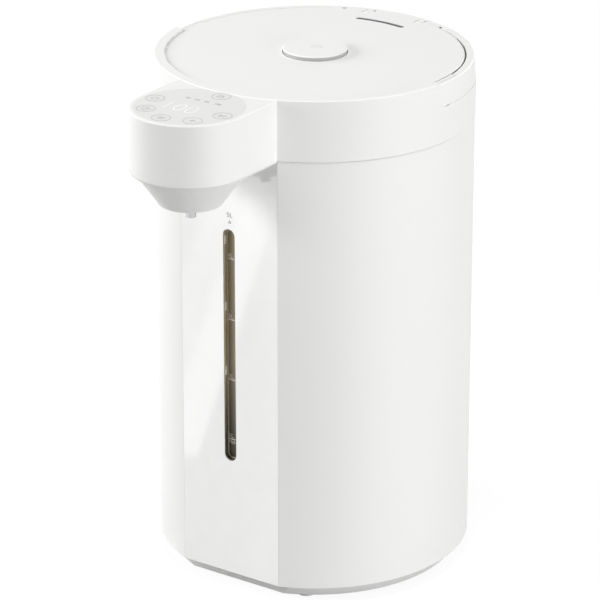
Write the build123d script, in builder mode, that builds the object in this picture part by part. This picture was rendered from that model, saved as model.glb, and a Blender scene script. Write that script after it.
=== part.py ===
from build123d import *
import os
from math import atan2, cos, degrees, radians, sin, sqrt

os.makedirs("parts", exist_ok=True)

# Hot water dispenser with a lift-up lid, a touch panel on its nose and a pump under the pot.
# Millimetres, +Z up, the table at zero, the front towards -Y, the pot's axis on Z.

# Whole body
body_radius = 107.0
flat_depth = 7.32
wall = 2.5
foot_height = 3.0
base_height = 9.0
shell_height = 304.0
collar_height = 41.5
seam_gap = 0.3
fit_gap = 0.3
sliding_gap = 0.05
cut_over = 5.0
corner_rounding = 0.15

# Front panel and level window
panel_thickness = 2.5
panel_lip_width = 9.0
panel_lip_thickness = 2.4
slot_width = 9.6
slot_above_pot_floor = 31.0
slot_below_seam = 55.0
lens_recess = 3.5
lens_thickness = 0.9
lens_rim = 0.8
lens_flange = 3.0

# Base cover, feet and its screws
base_taper = 8.5
spigot_height = 10.0
spigot_wall = 2.0
floor_thickness = 2.5
foot_radius = 7.0
foot_margin = 3.0
foot_angle = 31.0
foot_seat = 1.0
foot_rounding = 1.2
screw_inset = 14.5
screw_angle = 62.0
screw_radius = 2.0
screw_head_radius = 3.8
screw_head_height = 2.2
screw_boss_radius = 4.6
base_boss_height = 20.5
shell_boss_height = 16.0
boss_web = 3.0
vent_slot_length = 30.0
vent_slot_width = 3.0
vent_slot_pitch = 8.0
vent_slot_count = 4
vent_field_y = 22.0

# Upper housing: collar, throat, lid seat and nose
collar_overhang = 0.3
rim_width = 7.0
recess_wall = 2.0
seat_thickness = 2.5
throat_step = 6.0
throat_wall = 2.0
nose_drop = 0.5
nose_roof = 3.5
nose_rear_overlap = 1.7
doorway_margin = 6.4
collar_edge_rounding = 0.8
collar_screw_inset = 3.5
collar_screw_angle = 45.0
collar_boss_radius = 4.2
collar_boss_height = 14.0
collar_screw_radius = 1.5
collar_screw_length = 12.0
shell_flange_width = 7.0
shell_flange_thickness = 3.5

# Spout: cover with its cone, pipe and nozzle
spout_plate = 2.0
cone_height = 21.3
cone_outlet_radius = 20.8
cone_set_back = 3.0
cone_wall = 2.2
cone_rounding = 1.9
nozzle_radius = 3.4
nozzle_bore = 2.7
nozzle_reach = 10.0
nozzle_collar_height = 15.8
nozzle_tail_height = 8.0
pipe_wall = 1.0
pipe_below_seat = 10.0
pipe_bend = 12.0
pipe_overlap = 8.0

# Touch panel and its board
touch_margin = 2.9
touch_rear_margin = 4.5
touch_thickness = 1.5
touch_light_share = 0.86
board_thickness = 1.6
display_overlap = 2.5

# Pot and what stands round it
jacket_width = 21.5
pot_wall = 0.9
pot_corner = 12.0
pot_top_above_seam = 1.0
pot_seal_height = 2.5
drain_inset = 8.5
drain_radius = 4.0
drain_bore = 3.0
drain_length = 9.0
wrap_gap = 0.8
wrap_thickness = 5.5
wrap_bottom_above_floor = 16.0
wrap_top_below_seam = 8.0
wrap_slit_half_width = 10.0
stand_width = 7.5
stand_thickness = 6.0
stand_leg_radius = 3.5
stand_leg_count = 4

# Heater under the pot
heater_inset = 8.5
heater_thickness = 5.0
element_inset = 5.0
element_radius = 3.2
element_open_angle = 40.0
element_pin_radius = 2.0
element_pin_length = 10.0
element_side_gap = 1.0
thermostat_radius = 8.0
thermostat_height = 7.0
probe_radius = 3.0
probe_height = 11.0

# Pump, hoses and level tube
pump_radius = 15.0
pump_height = 14.0
pump_wall = 2.0
pump_stub_length = 7.0
motor_radius = 12.0
motor_height = 24.5
impeller_gap = 2.0
impeller_disc = 2.0
impeller_blade_height = 4.0
impeller_blade_width = 1.2
impeller_blade_count = 6
impeller_hub_radius = 3.0
shaft_radius = 1.5
shaft_length = 14.0
hose_wall = 1.4
hose_free_length = 3.1
tube_radius = 3.6
tube_bore = 2.6
tube_lens_gap = 0.08
elbow_rise = 23.0
elbow_overlap = 11.0
elbow_wall = 1.0
elbow_bend = 9.0
clip_wall = 0.8
clip_height = 4.0
clip_margin = 1.0

# Power board and mains inlet
power_board_depth = 46.0
board_leg_gap = 2.8
board_inlet_gap = 13.0
standoff_height = 6.5
standoff_radius = 3.0
standoff_margin = 5.0
transformer_width = 26.0
transformer_depth = 22.0
transformer_height = 20.0
relay_width = 20.0
relay_depth = 15.0
relay_height = 15.0
capacitor_radius = 5.5
capacitor_height = 18.0
inlet_width = 36.0
inlet_height = 26.0
inlet_above_shell = 30.0
inlet_depth = 24.0
inlet_wall = 3.0
inlet_cavity_depth = 17.0
inlet_set_in = 1.0
inlet_flange = 4.0
inlet_flange_thickness = 2.5
inlet_corner = 4.0
pin_width = 2.0
pin_tall = 6.0
pin_length = 13.0
pin_pitch = 9.0
pin_root = 5.0

# Lid
lid_gap = 0.8
lid_drop = 1.0
lid_seat_gap = 0.5
lid_skin = 2.2
lid_side_wall = 2.2
lid_edge_rounding = 1.2
lid_flange_thickness = 2.0
lid_flange_gap = 0.4
plug_gap = 3.5
plug_depth = 24.0
plug_wall = 2.2
liner_thickness = 0.8
liner_inset = 1.0
gasket_inset = 1.5
gasket_width = 4.5
gasket_groove = 1.3
lid_screw_inset = 4.3
lid_screw_angle = 45.0
lid_screw_radius = 1.2
lid_screw_head_radius = 2.3
lid_screw_length = 5.5
lid_boss_radius = 3.4
steam_slot_inset = 19.5
steam_slot_half_angle = 12.5
steam_slot_width = 4.0
trap_margin = 2.4
trap_wall = 1.2
trap_gap = 0.9
steam_hole_radius = 1.6
steam_hole_count = 3
steam_hole_pitch = 9.0
steam_hole_inset = 18.0

# Lid hinge
hinge_inset = 6.5
hinge_pin_radius = 0.8
hinge_arm_radius = 1.5
hinge_arm_width = 5.0
hinge_arm_x = 21.0
hinge_ear_width = 4.0
hinge_side_gap = 0.4
heel_gap = 0.38
heel_side_gap = 2.8

# Lid button and latch
button_radius = 21.4
button_rise = 3.0
button_depth = 3.2
button_travel = 3.0
button_gap = 0.6
button_rounding = 0.6
button_skin = 3.4
button_wall = 2.6
well_wall = 1.6
well_clearance = 0.7
well_floor = 1.8
stem_size = 8.0
stem_below_well = 7.6
bolt_width = 12.0
bolt_thickness = 3.0
bolt_drop = 1.3
bolt_floor_gap = 0.7
bolt_roof_gap = 1.6
bolt_riser_inset = 26.0
bolt_rear_y = 11.5
bolt_reach = 0.4
ramp_gap = 0.42
bolt_guide_width = 2.0
bolt_guide_length = 14.0
spring_wire = 0.5
button_spring_radius = 10.0
button_spring_turns = 2
latch_spring_radius = 2.2
latch_spring_turns = 6
latch_spring_length = 9.0
spring_post_width = 8.0
spring_post_thickness = 3.0

# Carry handle
handle_lid_gap = 0.3
handle_outer_inset = 0.2
handle_taper = 1.2
handle_drop = 1.5
handle_height = 16.0
handle_end_y = 11.8
handle_end_gap = 0.5
handle_floor_gap = 0.15
handle_pivot_y = -3.0
handle_pivot_below_top = 2.5
handle_toe_radius = 13.5
handle_tab_length = 15.0
handle_rounding = 0.8
lug_set_back = 0.1
lug_thickness = 2.6
handle_pin_radius = 1.3
handle_pin_skin = 0.6

# Outside heights and radii, from the table up
shell_z = foot_height + base_height
seam_z = shell_z + shell_height
top_z = seam_z + collar_height
floor_z = foot_height + floor_thickness
base_top_z = shell_z - seam_gap
boss_meet_z = floor_z + base_boss_height
shell_top_z = seam_z - seam_gap
shell_inner_radius = body_radius - wall
base_top_radius = shell_inner_radius - fit_gap
base_bottom_radius = body_radius - base_taper
foot_circle = base_bottom_radius - foot_margin - foot_radius
screw_circle = base_bottom_radius - screw_inset
collar_radius = body_radius + collar_overhang
collar_inner_radius = collar_radius - wall
collar_screw_circle = shell_inner_radius - collar_screw_inset
flat_y = body_radius - flat_depth
flat_half_width = sqrt(body_radius**2 - flat_y**2)
panel_back_y = flat_y - panel_thickness
lip_front_y = panel_back_y - fit_gap
lip_back_y = lip_front_y - panel_lip_thickness

# Pump, pot and heater, from the base cover up
pump_z = floor_z + motor_height
pump_top_z = pump_z + pump_height
pot_base_z = pump_top_z + pump_stub_length + hose_free_length + drain_length
pot_floor_z = pot_base_z + pot_wall
pot_top_z = seam_z + pot_top_above_seam
heater_z = pot_base_z - heater_thickness
pot_inner_radius = body_radius - jacket_width
pot_outer_radius = pot_inner_radius + pot_wall
stand_outer_radius = pot_inner_radius - pot_corner
stand_inner_radius = stand_outer_radius - stand_width
stand_middle = (stand_inner_radius + stand_outer_radius) / 2
drain_y = stand_inner_radius - drain_inset
heater_radius = drain_y - heater_inset
slot_bottom_z = pot_floor_z + slot_above_pot_floor
slot_top_z = seam_z - slot_below_seam
inlet_z = shell_z + inlet_above_shell

# Lid, its recess and the hinge, from the top down
lid_recess_radius = collar_radius - rim_width
lid_radius = lid_recess_radius - lid_gap
lid_top_z = top_z - lid_drop
lid_skin_z = lid_top_z - lid_skin
bolt_high_top_z = lid_skin_z - bolt_roof_gap
bolt_high_z = bolt_high_top_z - bolt_thickness
lid_flange_top_z = bolt_high_z - bolt_floor_gap
lid_bottom_z = lid_flange_top_z - lid_flange_thickness
seat_z = lid_bottom_z - lid_seat_gap
lid_seat_depth = top_z - seat_z
lid_flange_radius = lid_radius - lid_side_wall - lid_flange_gap
lid_screw_circle = lid_flange_radius - lid_screw_inset
throat_radius = pot_inner_radius - throat_step
throat_z = pot_top_z + pot_seal_height
plug_radius = throat_radius - plug_gap
plug_z = lid_bottom_z - plug_depth
steam_slot_circle = lid_radius - steam_slot_inset
steam_hole_y = plug_radius - steam_hole_inset
hinge_y = lid_radius - hinge_inset
hinge_z = lid_top_z - hinge_arm_radius
heel_drop = hinge_z - lid_bottom_z
heel_swing = sqrt(hinge_inset**2 + heel_drop**2)
heel_half_width = sqrt(lid_radius**2 - hinge_y**2)

# Button and latch inside the lid
well_radius = button_radius + button_gap
button_bottom_z = lid_top_z - button_depth
well_floor_z = button_bottom_z - button_travel - well_clearance
bolt_low_top_z = well_floor_z - well_floor - bolt_drop
bolt_low_z = bolt_low_top_z - bolt_thickness
bolt_riser_y = plug_radius - bolt_riser_inset

# Nose, touch panel and spout
nose_inner_half = flat_half_width - wall
touch_radius = flat_half_width - touch_margin
nose_reach = lid_recess_radius + touch_rear_margin + touch_radius
nose_top_z = top_z - nose_drop
nose_underside_z = nose_top_z - nose_roof
doorway_half_width = nose_inner_half - doorway_margin
spout_plate_z = seam_z - sliding_gap - spout_plate
cone_top_radius = flat_half_width - cone_set_back
cone_bottom_z = spout_plate_z - cone_height
pipe_radius = tube_radius + sliding_gap + pipe_wall
pipe_z = seat_z - seat_thickness - pipe_below_seat

# Handle and its lugs
handle_inner_radius = lid_recess_radius + handle_lid_gap
handle_outer_radius = collar_radius - handle_outer_inset
handle_top_z = top_z - handle_drop
handle_z = handle_top_z - handle_height
handle_floor_z = handle_z - handle_floor_gap
handle_pivot_z = handle_top_z - handle_pivot_below_top
lug_inner_x = lid_recess_radius + lug_set_back
lug_outer_x = lug_inner_x + lug_thickness
lug_rear_reach = sqrt((handle_tab_length - fit_gap) ** 2 - handle_pivot_below_top**2)
lug_rear_y = handle_pivot_y + lug_rear_reach
handle_tab_inner_x = lug_outer_x + fit_gap
handle_pin_end_x = handle_outer_radius - handle_taper - handle_pin_skin


def d_outline(radius, flat):
    """A circle cut off by the flat at the front."""
    Circle(radius)
    with Locations((0, -flat - radius)):
        Rectangle(2 * radius, 2 * radius, mode=Mode.SUBTRACT)


def nose_outline(half_width, rear_y):
    """The nose seen from above: two straight sides and a round front."""
    with Locations((0, -nose_reach)):
        Circle(half_width)
    with Locations((0, -(nose_reach + rear_y) / 2)):
        Rectangle(2 * half_width, nose_reach - rear_y)


def polar(circle, angle):
    """A place on a circle, with the angle counted from the front towards +X."""
    return (circle * sin(radians(angle)), -circle * cos(radians(angle)))


def four_places(circle, angle):
    """The same place mirrored left to right and front to back."""
    return [polar(circle, a) for a in (angle, -angle, 180 - angle, angle - 180)]


def finish(piece, name):
    """Name the piece and write it out."""
    piece.part.label = name
    export_step(piece.part, f"parts/{name}.step")


# Outer shell: a sleeve open at the front, with lips behind the front panel
screw_places = four_places(screw_circle, screw_angle)
collar_screw_places = four_places(collar_screw_circle, collar_screw_angle)
opening_half_width = flat_half_width + sliding_gap
lip_middle_y = (lip_front_y + lip_back_y) / 2
with BuildPart() as outer_shell:
    with BuildSketch(Plane.XY.offset(shell_z)):
        Circle(body_radius)
        Circle(shell_inner_radius, mode=Mode.SUBTRACT)
        with Locations((0, -body_radius)):
            Rectangle(2 * opening_half_width, 2 * wall + body_radius, mode=Mode.SUBTRACT)
        with Locations((opening_half_width, -lip_middle_y), (-opening_half_width, -lip_middle_y)):
            Rectangle(2 * panel_lip_width, panel_lip_thickness)
        Circle(body_radius, mode=Mode.INTERSECT)
    extrude(amount=shell_top_z - shell_z)
    shell_corners = outer_shell.edges().filter_by(Axis.Z).filter_by_position(
        Axis.Y, -flat_y - sliding_gap, -flat_y + sliding_gap
    )
    fillet(shell_corners, radius=corner_rounding)
    with BuildSketch(Plane.XY.offset(shell_top_z)):
        Circle(shell_inner_radius + wall / 2)
        Circle(shell_inner_radius - shell_flange_width, mode=Mode.SUBTRACT)
        with Locations((0, -body_radius)):
            Rectangle(2 * opening_half_width + 2 * wall, body_radius, mode=Mode.SUBTRACT)
        with Locations(*collar_screw_places):
            Circle(collar_screw_radius + fit_gap, mode=Mode.SUBTRACT)
    extrude(amount=-shell_flange_thickness)
    with BuildSketch(Plane.XY.offset(boss_meet_z)):
        with Locations(*screw_places):
            Circle(screw_boss_radius)
        for place in screw_places:
            turn = degrees(atan2(place[1], place[0]))
            web_length = shell_inner_radius + wall / 2 - screw_circle
            with PolarLocations(screw_circle + web_length / 2, 1, start_angle=turn):
                Rectangle(web_length, boss_web)
        with Locations(*screw_places):
            Circle(screw_radius + sliding_gap, mode=Mode.SUBTRACT)
    extrude(amount=shell_boss_height)
    with Locations((0, body_radius, inlet_z)):
        Box(inlet_width + 2 * fit_gap, body_radius, inlet_height + 2 * fit_gap, mode=Mode.SUBTRACT)
finish(outer_shell, "outer_shell")

# Front panel: a flat glossy plate between the shell's edges, with the level slot
slot_height = slot_top_z - slot_bottom_z
slot_middle_z = (slot_top_z + slot_bottom_z) / 2
with BuildPart() as front_panel:
    with BuildSketch(Plane.XY.offset(shell_z)):
        with Locations((0, -(flat_y + panel_back_y) / 2)):
            Rectangle(2 * flat_half_width - 2 * sliding_gap, panel_thickness)
        Circle(body_radius, mode=Mode.INTERSECT)
    extrude(amount=shell_top_z - shell_z)
    fillet(front_panel.faces().sort_by(Axis.Y)[0].edges().filter_by(Axis.Z), radius=corner_rounding)
    with BuildSketch(Plane.XZ.offset(flat_y)):
        with Locations((0, slot_middle_z)):
            SlotOverall(slot_height, slot_width, rotation=90)
    extrude(amount=-flat_y / 2, mode=Mode.SUBTRACT)
finish(front_panel, "front_panel")

# Window lens: a smoked tray that lines the slot and shows the level tube
lens_face_y = flat_y - lens_recess
lens_back_y = lens_face_y - lens_thickness
lens_front_y = flat_y - lens_rim / 2
lens_flange_y = panel_back_y - sliding_gap
lens_width = slot_width - 2 * sliding_gap
lens_height = slot_height - 2 * sliding_gap
with BuildPart() as window_lens:
    with BuildSketch(Plane.XZ.offset(lens_back_y)):
        with Locations((0, slot_middle_z)):
            SlotOverall(lens_height + 2 * lens_flange, lens_width + 2 * lens_flange, rotation=90)
    extrude(amount=lens_flange_y - lens_back_y)
    with BuildSketch(Plane.XZ.offset(lens_back_y)):
        with Locations((0, slot_middle_z)):
            SlotOverall(lens_height, lens_width, rotation=90)
    extrude(amount=lens_front_y - lens_back_y)
    with BuildSketch(Plane.XZ.offset(lens_face_y)):
        with Locations((0, slot_middle_z)):
            SlotOverall(lens_height - 2 * lens_rim, lens_width - 2 * lens_rim, rotation=90)
    extrude(amount=lens_recess, mode=Mode.SUBTRACT)
finish(window_lens, "window_lens")

# Base cover: a tapered tray that plugs into the shell, with feet seats, bosses and vents
foot_places = four_places(foot_circle, foot_angle)
spigot_flat = lip_back_y - fit_gap
base_bottom_flat = flat_y - base_taper
base_top_flat = flat_y - (base_taper + wall) / 2
tray_radius = base_bottom_radius - wall
tray_flat = base_bottom_flat - wall
inlet_face_y = body_radius - inlet_set_in
power_board_y = inlet_face_y - inlet_depth - board_inlet_gap - power_board_depth / 2
leg_x = stand_middle * cos(radians(180 / stand_leg_count))
power_board_width = 2 * (leg_x - stand_leg_radius - board_leg_gap)
standoff_x = power_board_width / 2 - standoff_margin
standoff_y = power_board_depth / 2 - standoff_margin
with BuildPart() as base_cover:
    with BuildSketch(Plane.XY.offset(foot_height)):
        d_outline(base_bottom_radius, base_bottom_flat)
    with BuildSketch(Plane.XY.offset(base_top_z)):
        d_outline(base_top_radius, base_top_flat)
    loft(ruled=True)
    with BuildSketch(Plane.XY.offset(base_top_z - floor_thickness)):
        d_outline(base_bottom_radius, spigot_flat)
    extrude(amount=floor_thickness)
    with BuildSketch(Plane.XY.offset(base_top_z)):
        d_outline(base_top_radius, spigot_flat)
    extrude(amount=spigot_height)
    with BuildSketch(Plane.XY.offset(floor_z)):
        d_outline(tray_radius, tray_flat)
    extrude(amount=base_height, mode=Mode.SUBTRACT)
    with BuildSketch(Plane.XY.offset(base_top_z)):
        d_outline(base_top_radius - spigot_wall, tray_flat)
    extrude(amount=spigot_height + cut_over, mode=Mode.SUBTRACT)
    with BuildSketch(Plane.XY.offset(foot_height)):
        with Locations(*screw_places):
            Circle(screw_boss_radius)
    extrude(amount=boss_meet_z - foot_height)
    with BuildSketch(Plane.XY.offset(foot_height)):
        with Locations(*foot_places):
            Circle(foot_radius + wall)
    extrude(amount=floor_thickness + foot_seat)
    with BuildSketch(Plane.XY.offset(floor_z)):
        with Locations((0, power_board_y)):
            with GridLocations(2 * standoff_x, 2 * standoff_y, 2, 2):
                Circle(standoff_radius)
    extrude(amount=standoff_height)
    with BuildSketch(Plane.XY.offset(foot_height)):
        with Locations(*foot_places):
            Circle(foot_radius + sliding_gap)
    extrude(amount=foot_seat, mode=Mode.SUBTRACT)
    with BuildSketch(Plane.XY.offset(foot_height)):
        with Locations(*screw_places):
            Circle(screw_radius + sliding_gap)
    extrude(amount=boss_meet_z, mode=Mode.SUBTRACT)
    with BuildSketch(Plane.XY.offset(foot_height)):
        with Locations(*screw_places):
            Circle(screw_head_radius + fit_gap)
    extrude(amount=screw_head_height + fit_gap, mode=Mode.SUBTRACT)
    with BuildSketch(Plane.XY.offset(foot_height)):
        with Locations((0, -vent_field_y + vent_slot_pitch), (0, vent_field_y + vent_slot_pitch)):
            with GridLocations(vent_slot_pitch, vent_slot_pitch, 1, vent_slot_count):
                SlotOverall(vent_slot_length, vent_slot_width)
    extrude(amount=floor_thickness, mode=Mode.SUBTRACT)
finish(base_cover, "base_cover")

# Rubber feet, one at each corner of the base
with BuildPart() as rubber_feet:
    with BuildSketch():
        with Locations(*foot_places):
            Circle(foot_radius)
    extrude(amount=foot_height + foot_seat)
    fillet(rubber_feet.edges().group_by(Axis.Z)[0], radius=foot_rounding)
finish(rubber_feet, "rubber_feet")

# Base screws: up through the base cover into the shell's bosses
screw_seat_z = foot_height + screw_head_height + fit_gap
with BuildPart() as base_screws:
    with BuildSketch(Plane.XY.offset(screw_seat_z)):
        with Locations(*screw_places):
            Circle(screw_head_radius)
    extrude(amount=-screw_head_height)
    with BuildSketch(Plane.XY.offset(screw_seat_z)):
        with Locations(*screw_places):
            Circle(screw_radius)
    extrude(amount=boss_meet_z + shell_boss_height / 2 - screw_seat_z)
finish(base_screws, "base_screws")

# Upper housing: collar, lid seat, throat and nose in one moulding
pocket_floor_z = hinge_z - heel_swing - heel_gap
pocket_half_width = heel_half_width + heel_side_gap
heel_dip = hinge_z - seat_z - heel_gap
pocket_front_y = hinge_y - sqrt(heel_swing**2 - heel_dip**2) - heel_gap
handle_block_y = handle_end_y + wall
arm_base_z = pocket_floor_z - seat_thickness / 2
with BuildPart() as nose_block:
    with BuildSketch(Plane.XY.offset(seam_z)):
        nose_outline(flat_half_width, flat_y - nose_rear_overlap)
    extrude(amount=nose_top_z - seam_z)
    fillet(nose_block.faces().sort_by(Axis.Z)[-1].edges().sort_by(Axis.Y)[:-1], radius=collar_edge_rounding)
with BuildPart() as handle_channel:
    with BuildSketch(Plane.XY.offset(handle_floor_z)):
        Circle(collar_radius + cut_over)
        Circle(lid_recess_radius, mode=Mode.SUBTRACT)
        with Locations((0, -handle_end_y - 2 * collar_radius)):
            Rectangle(4 * collar_radius, 4 * collar_radius, mode=Mode.SUBTRACT)
    extrude(amount=top_z - handle_floor_z)
    with BuildSketch(Plane.YZ.offset(-collar_radius - cut_over)):
        with Locations((handle_pivot_y - handle_height, handle_pivot_z - handle_height)):
            Rectangle(2 * handle_height, 2 * handle_height)
        with Locations((handle_pivot_y, handle_pivot_z)):
            Circle(handle_toe_radius + handle_end_gap, mode=Mode.SUBTRACT)
    extrude(amount=2 * collar_radius + 2 * cut_over, mode=Mode.SUBTRACT)
with BuildPart() as upper_housing:
    with BuildSketch(Plane.XZ):
        with BuildLine():
            Polyline(
                (collar_radius, seam_z),
                (collar_radius, top_z),
                (lid_recess_radius, top_z),
                (lid_recess_radius, seat_z),
                (throat_radius, seat_z),
                (throat_radius, throat_z),
                (pot_outer_radius, throat_z),
                (pot_outer_radius, throat_z + wall),
                (throat_radius + throat_wall, throat_z + wall),
                (throat_radius + throat_wall, seat_z - seat_thickness),
                (lid_recess_radius + recess_wall, seat_z - seat_thickness),
                (lid_recess_radius + recess_wall, top_z - wall),
                (collar_inner_radius, top_z - wall),
                (collar_inner_radius, seam_z),
                close=True,
            )
        make_face()
    revolve(axis=Axis.Z)
    rim_edges = upper_housing.edges().filter_by(GeomType.CIRCLE).group_by(Axis.Z)[-1]
    fillet(rim_edges.sort_by(SortBy.RADIUS)[-1], radius=collar_edge_rounding)
    # Solid ring behind, which the handle's channel is cut from
    with BuildSketch(Plane.XY.offset(handle_floor_z - wall)):
        Circle(collar_inner_radius + wall / 2)
        Circle(lid_recess_radius - recess_wall, mode=Mode.SUBTRACT)
        with Locations((0, -handle_block_y - collar_radius)):
            Rectangle(2 * collar_radius, 2 * collar_radius, mode=Mode.SUBTRACT)
    extrude(amount=top_z - handle_floor_z + wall / 2)
    # Block under the lid's heel
    with BuildSketch(Plane.XY.offset(pocket_floor_z - seat_thickness)):
        Circle(lid_recess_radius)
        Circle(throat_radius + throat_wall / 2, mode=Mode.SUBTRACT)
        with Locations((0, collar_radius)):
            Rectangle(2 * pocket_half_width + 2 * wall, 2 * collar_radius, mode=Mode.INTERSECT)
    extrude(amount=seat_z - pocket_floor_z + seat_thickness)
    # Nose, then its cavity and the way in from the body
    add(nose_block.part)
    with BuildSketch(Plane.XY.offset(seam_z)):
        nose_outline(nose_inner_half, flat_y - nose_rear_overlap)
        Circle(collar_radius, mode=Mode.SUBTRACT)
    extrude(amount=nose_underside_z - seam_z, mode=Mode.SUBTRACT)
    with BuildSketch(Plane.XY.offset(seam_z)):
        with Locations((0, -collar_radius)):
            Rectangle(2 * doorway_half_width, collar_radius / 2)
        Circle(throat_radius + throat_wall + wall, mode=Mode.SUBTRACT)
    extrude(amount=seat_z - seat_thickness - seam_z, mode=Mode.SUBTRACT)
    # Lid recess, handle channel and heel pocket
    with BuildSketch(Plane.XY.offset(seat_z)):
        Circle(lid_recess_radius)
    extrude(amount=lid_seat_depth, mode=Mode.SUBTRACT)
    add(handle_channel.part, mode=Mode.SUBTRACT)
    with BuildSketch(Plane.XY.offset(pocket_floor_z)):
        Circle(lid_recess_radius)
        with Locations((0, pocket_front_y + collar_radius)):
            Rectangle(2 * pocket_half_width, 2 * collar_radius, mode=Mode.INTERSECT)
    extrude(amount=lid_seat_depth, mode=Mode.SUBTRACT)
    # Touch panel seat with a light window
    with BuildSketch(Plane.XY.offset(nose_top_z)):
        with Locations((0, -nose_reach)):
            Circle(touch_radius + sliding_gap)
    extrude(amount=-touch_thickness, mode=Mode.SUBTRACT)
    with BuildSketch(Plane.XY.offset(nose_top_z)):
        with Locations((0, -nose_reach)):
            Circle(touch_radius * touch_light_share)
    extrude(amount=-nose_roof, mode=Mode.SUBTRACT)
    # Hinge arms and handle lugs
    for side in (-1, 1):
        with BuildSketch(Plane.YZ.offset(side * hinge_arm_x - hinge_arm_width / 2)):
            with Locations((hinge_y, hinge_z)):
                Circle(hinge_arm_radius)
            with Locations((hinge_y, (hinge_z + arm_base_z) / 2)):
                Rectangle(2 * hinge_arm_radius, hinge_z - arm_base_z)
            with Locations((hinge_y, hinge_z)):
                Circle(hinge_pin_radius + sliding_gap / 2, mode=Mode.SUBTRACT)
        extrude(amount=hinge_arm_width)
        with BuildSketch(Plane.XY.offset(handle_floor_z - wall / 2)):
            with Locations((side * lug_outer_x / 2, (lug_rear_y - handle_end_y) / 2)):
                Rectangle(lug_outer_x, lug_rear_y + handle_end_y)
            Circle(lid_recess_radius, mode=Mode.SUBTRACT)
        extrude(amount=handle_top_z - handle_floor_z + wall / 2)
        with BuildSketch(Plane.YZ.offset(side * lid_recess_radius / 2)):
            with Locations((handle_pivot_y, handle_pivot_z)):
                Circle(handle_pin_radius + sliding_gap / 2)
        extrude(amount=side * collar_radius / 2, mode=Mode.SUBTRACT)
    # Bosses for the collar screws
    with BuildSketch(Plane.XY.offset(seam_z)):
        with Locations(*collar_screw_places):
            Circle(collar_boss_radius)
        Circle(collar_radius, mode=Mode.INTERSECT)
        with Locations(*collar_screw_places):
            Circle(collar_screw_radius + sliding_gap, mode=Mode.SUBTRACT)
    extrude(amount=collar_boss_height)
    # Notch in front of the latch
    with Locations((0, -lid_recess_radius, bolt_high_z + bolt_thickness / 2)):
        Box(bolt_width + 2 * bolt_thickness, recess_wall, 2 * bolt_thickness, mode=Mode.SUBTRACT)
finish(upper_housing, "upper_housing")

# Collar screws: up through the shell's flange into the upper housing
flange_bottom_z = shell_top_z - shell_flange_thickness
with BuildPart() as collar_screws:
    with BuildSketch(Plane.XY.offset(flange_bottom_z)):
        with Locations(*collar_screw_places):
            Circle(2 * collar_screw_radius)
    extrude(amount=-collar_screw_radius)
    with BuildSketch(Plane.XY.offset(flange_bottom_z)):
        with Locations(*collar_screw_places):
            Circle(collar_screw_radius)
    extrude(amount=collar_screw_length)
finish(collar_screws, "collar_screws")

# Spout cover: the nose's floor with the hollow cone round the outlet
with BuildPart() as spout_cover:
    with BuildSketch(Plane.XY.offset(spout_plate_z)):
        nose_outline(flat_half_width, flat_y + fit_gap)
    extrude(amount=spout_plate)
    with BuildSketch(Plane.XY.offset(cone_bottom_z)):
        with Locations((0, -nose_reach)):
            Circle(cone_outlet_radius)
    with BuildSketch(Plane.XY.offset(spout_plate_z)):
        with Locations((0, -nose_reach)):
            Circle(cone_top_radius)
    loft()
    with BuildSketch(Plane.XY.offset(cone_bottom_z + cone_wall)):
        with Locations((0, -nose_reach)):
            Circle(cone_outlet_radius - cone_wall / 2)
    with BuildSketch(Plane.XY.offset(spout_plate_z + spout_plate)):
        with Locations((0, -nose_reach)):
            Circle(cone_top_radius - cone_wall)
    loft(mode=Mode.SUBTRACT)
    with BuildSketch(Plane.XY.offset(cone_bottom_z)):
        with Locations((0, -nose_reach)):
            Circle(nozzle_radius + sliding_gap)
    extrude(amount=cone_wall, mode=Mode.SUBTRACT)
    underside = spout_cover.edges().filter_by_position(
        Axis.Z, spout_plate_z - sliding_gap, spout_plate_z + sliding_gap
    )
    fillet(underside.filter_by(GeomType.CIRCLE).sort_by(Axis.Y)[0], radius=cone_rounding)
finish(spout_cover, "spout_cover")

# Touch panel: a thin round sheet let into the nose's top
with BuildPart() as touch_panel:
    with BuildSketch(Plane.XY.offset(nose_top_z)):
        with Locations((0, -nose_reach)):
            Circle(touch_radius)
    extrude(amount=-touch_thickness)
finish(touch_panel, "touch_panel")

# Display board: under the light window, against the nose's roof
with BuildPart() as display_board:
    with BuildSketch(Plane.XY.offset(nose_underside_z)):
        with Locations((0, -nose_reach)):
            Circle(touch_radius * touch_light_share + display_overlap)
    extrude(amount=-board_thickness)
finish(display_board, "display_board")

# Level tube: clear riser between the pot and the front panel
outlet_z = pump_z + pump_height / 2
tube_y = flat_y - lens_recess - lens_thickness - tube_lens_gap - tube_radius
tube_bottom_z = outlet_z + elbow_rise
tube_top_z = seam_z + pot_top_above_seam
with BuildPart() as level_tube:
    with BuildSketch(Plane.XY.offset(tube_bottom_z)):
        with Locations((0, -tube_y)):
            Circle(tube_radius)
            Circle(tube_bore, mode=Mode.SUBTRACT)
    extrude(amount=tube_top_z - tube_bottom_z)
finish(level_tube, "level_tube")

# Spout pipe: from the tube's top over the shell and down to the nozzle
nozzle_tip_z = cone_bottom_z - nozzle_reach
nozzle_shoulder_z = nozzle_tip_z + nozzle_collar_height
pipe_start = (0, -tube_y, tube_top_z - pipe_overlap)
pipe_end = (0, -nose_reach, nozzle_shoulder_z)
pipe_bends = [(0, -tube_y, pipe_z), (0, -nose_reach, pipe_z)]
with BuildPart() as spout_pipe:
    with BuildLine() as pipe_path:
        FilletPolyline(pipe_start, *pipe_bends, pipe_end, radius=pipe_bend)
    with BuildSketch(Plane(origin=pipe_start, z_dir=(0, 0, 1))):
        Circle(pipe_radius)
        Circle(tube_radius + sliding_gap, mode=Mode.SUBTRACT)
    sweep(path=pipe_path.wire())
finish(spout_pipe, "spout_pipe")

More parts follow.
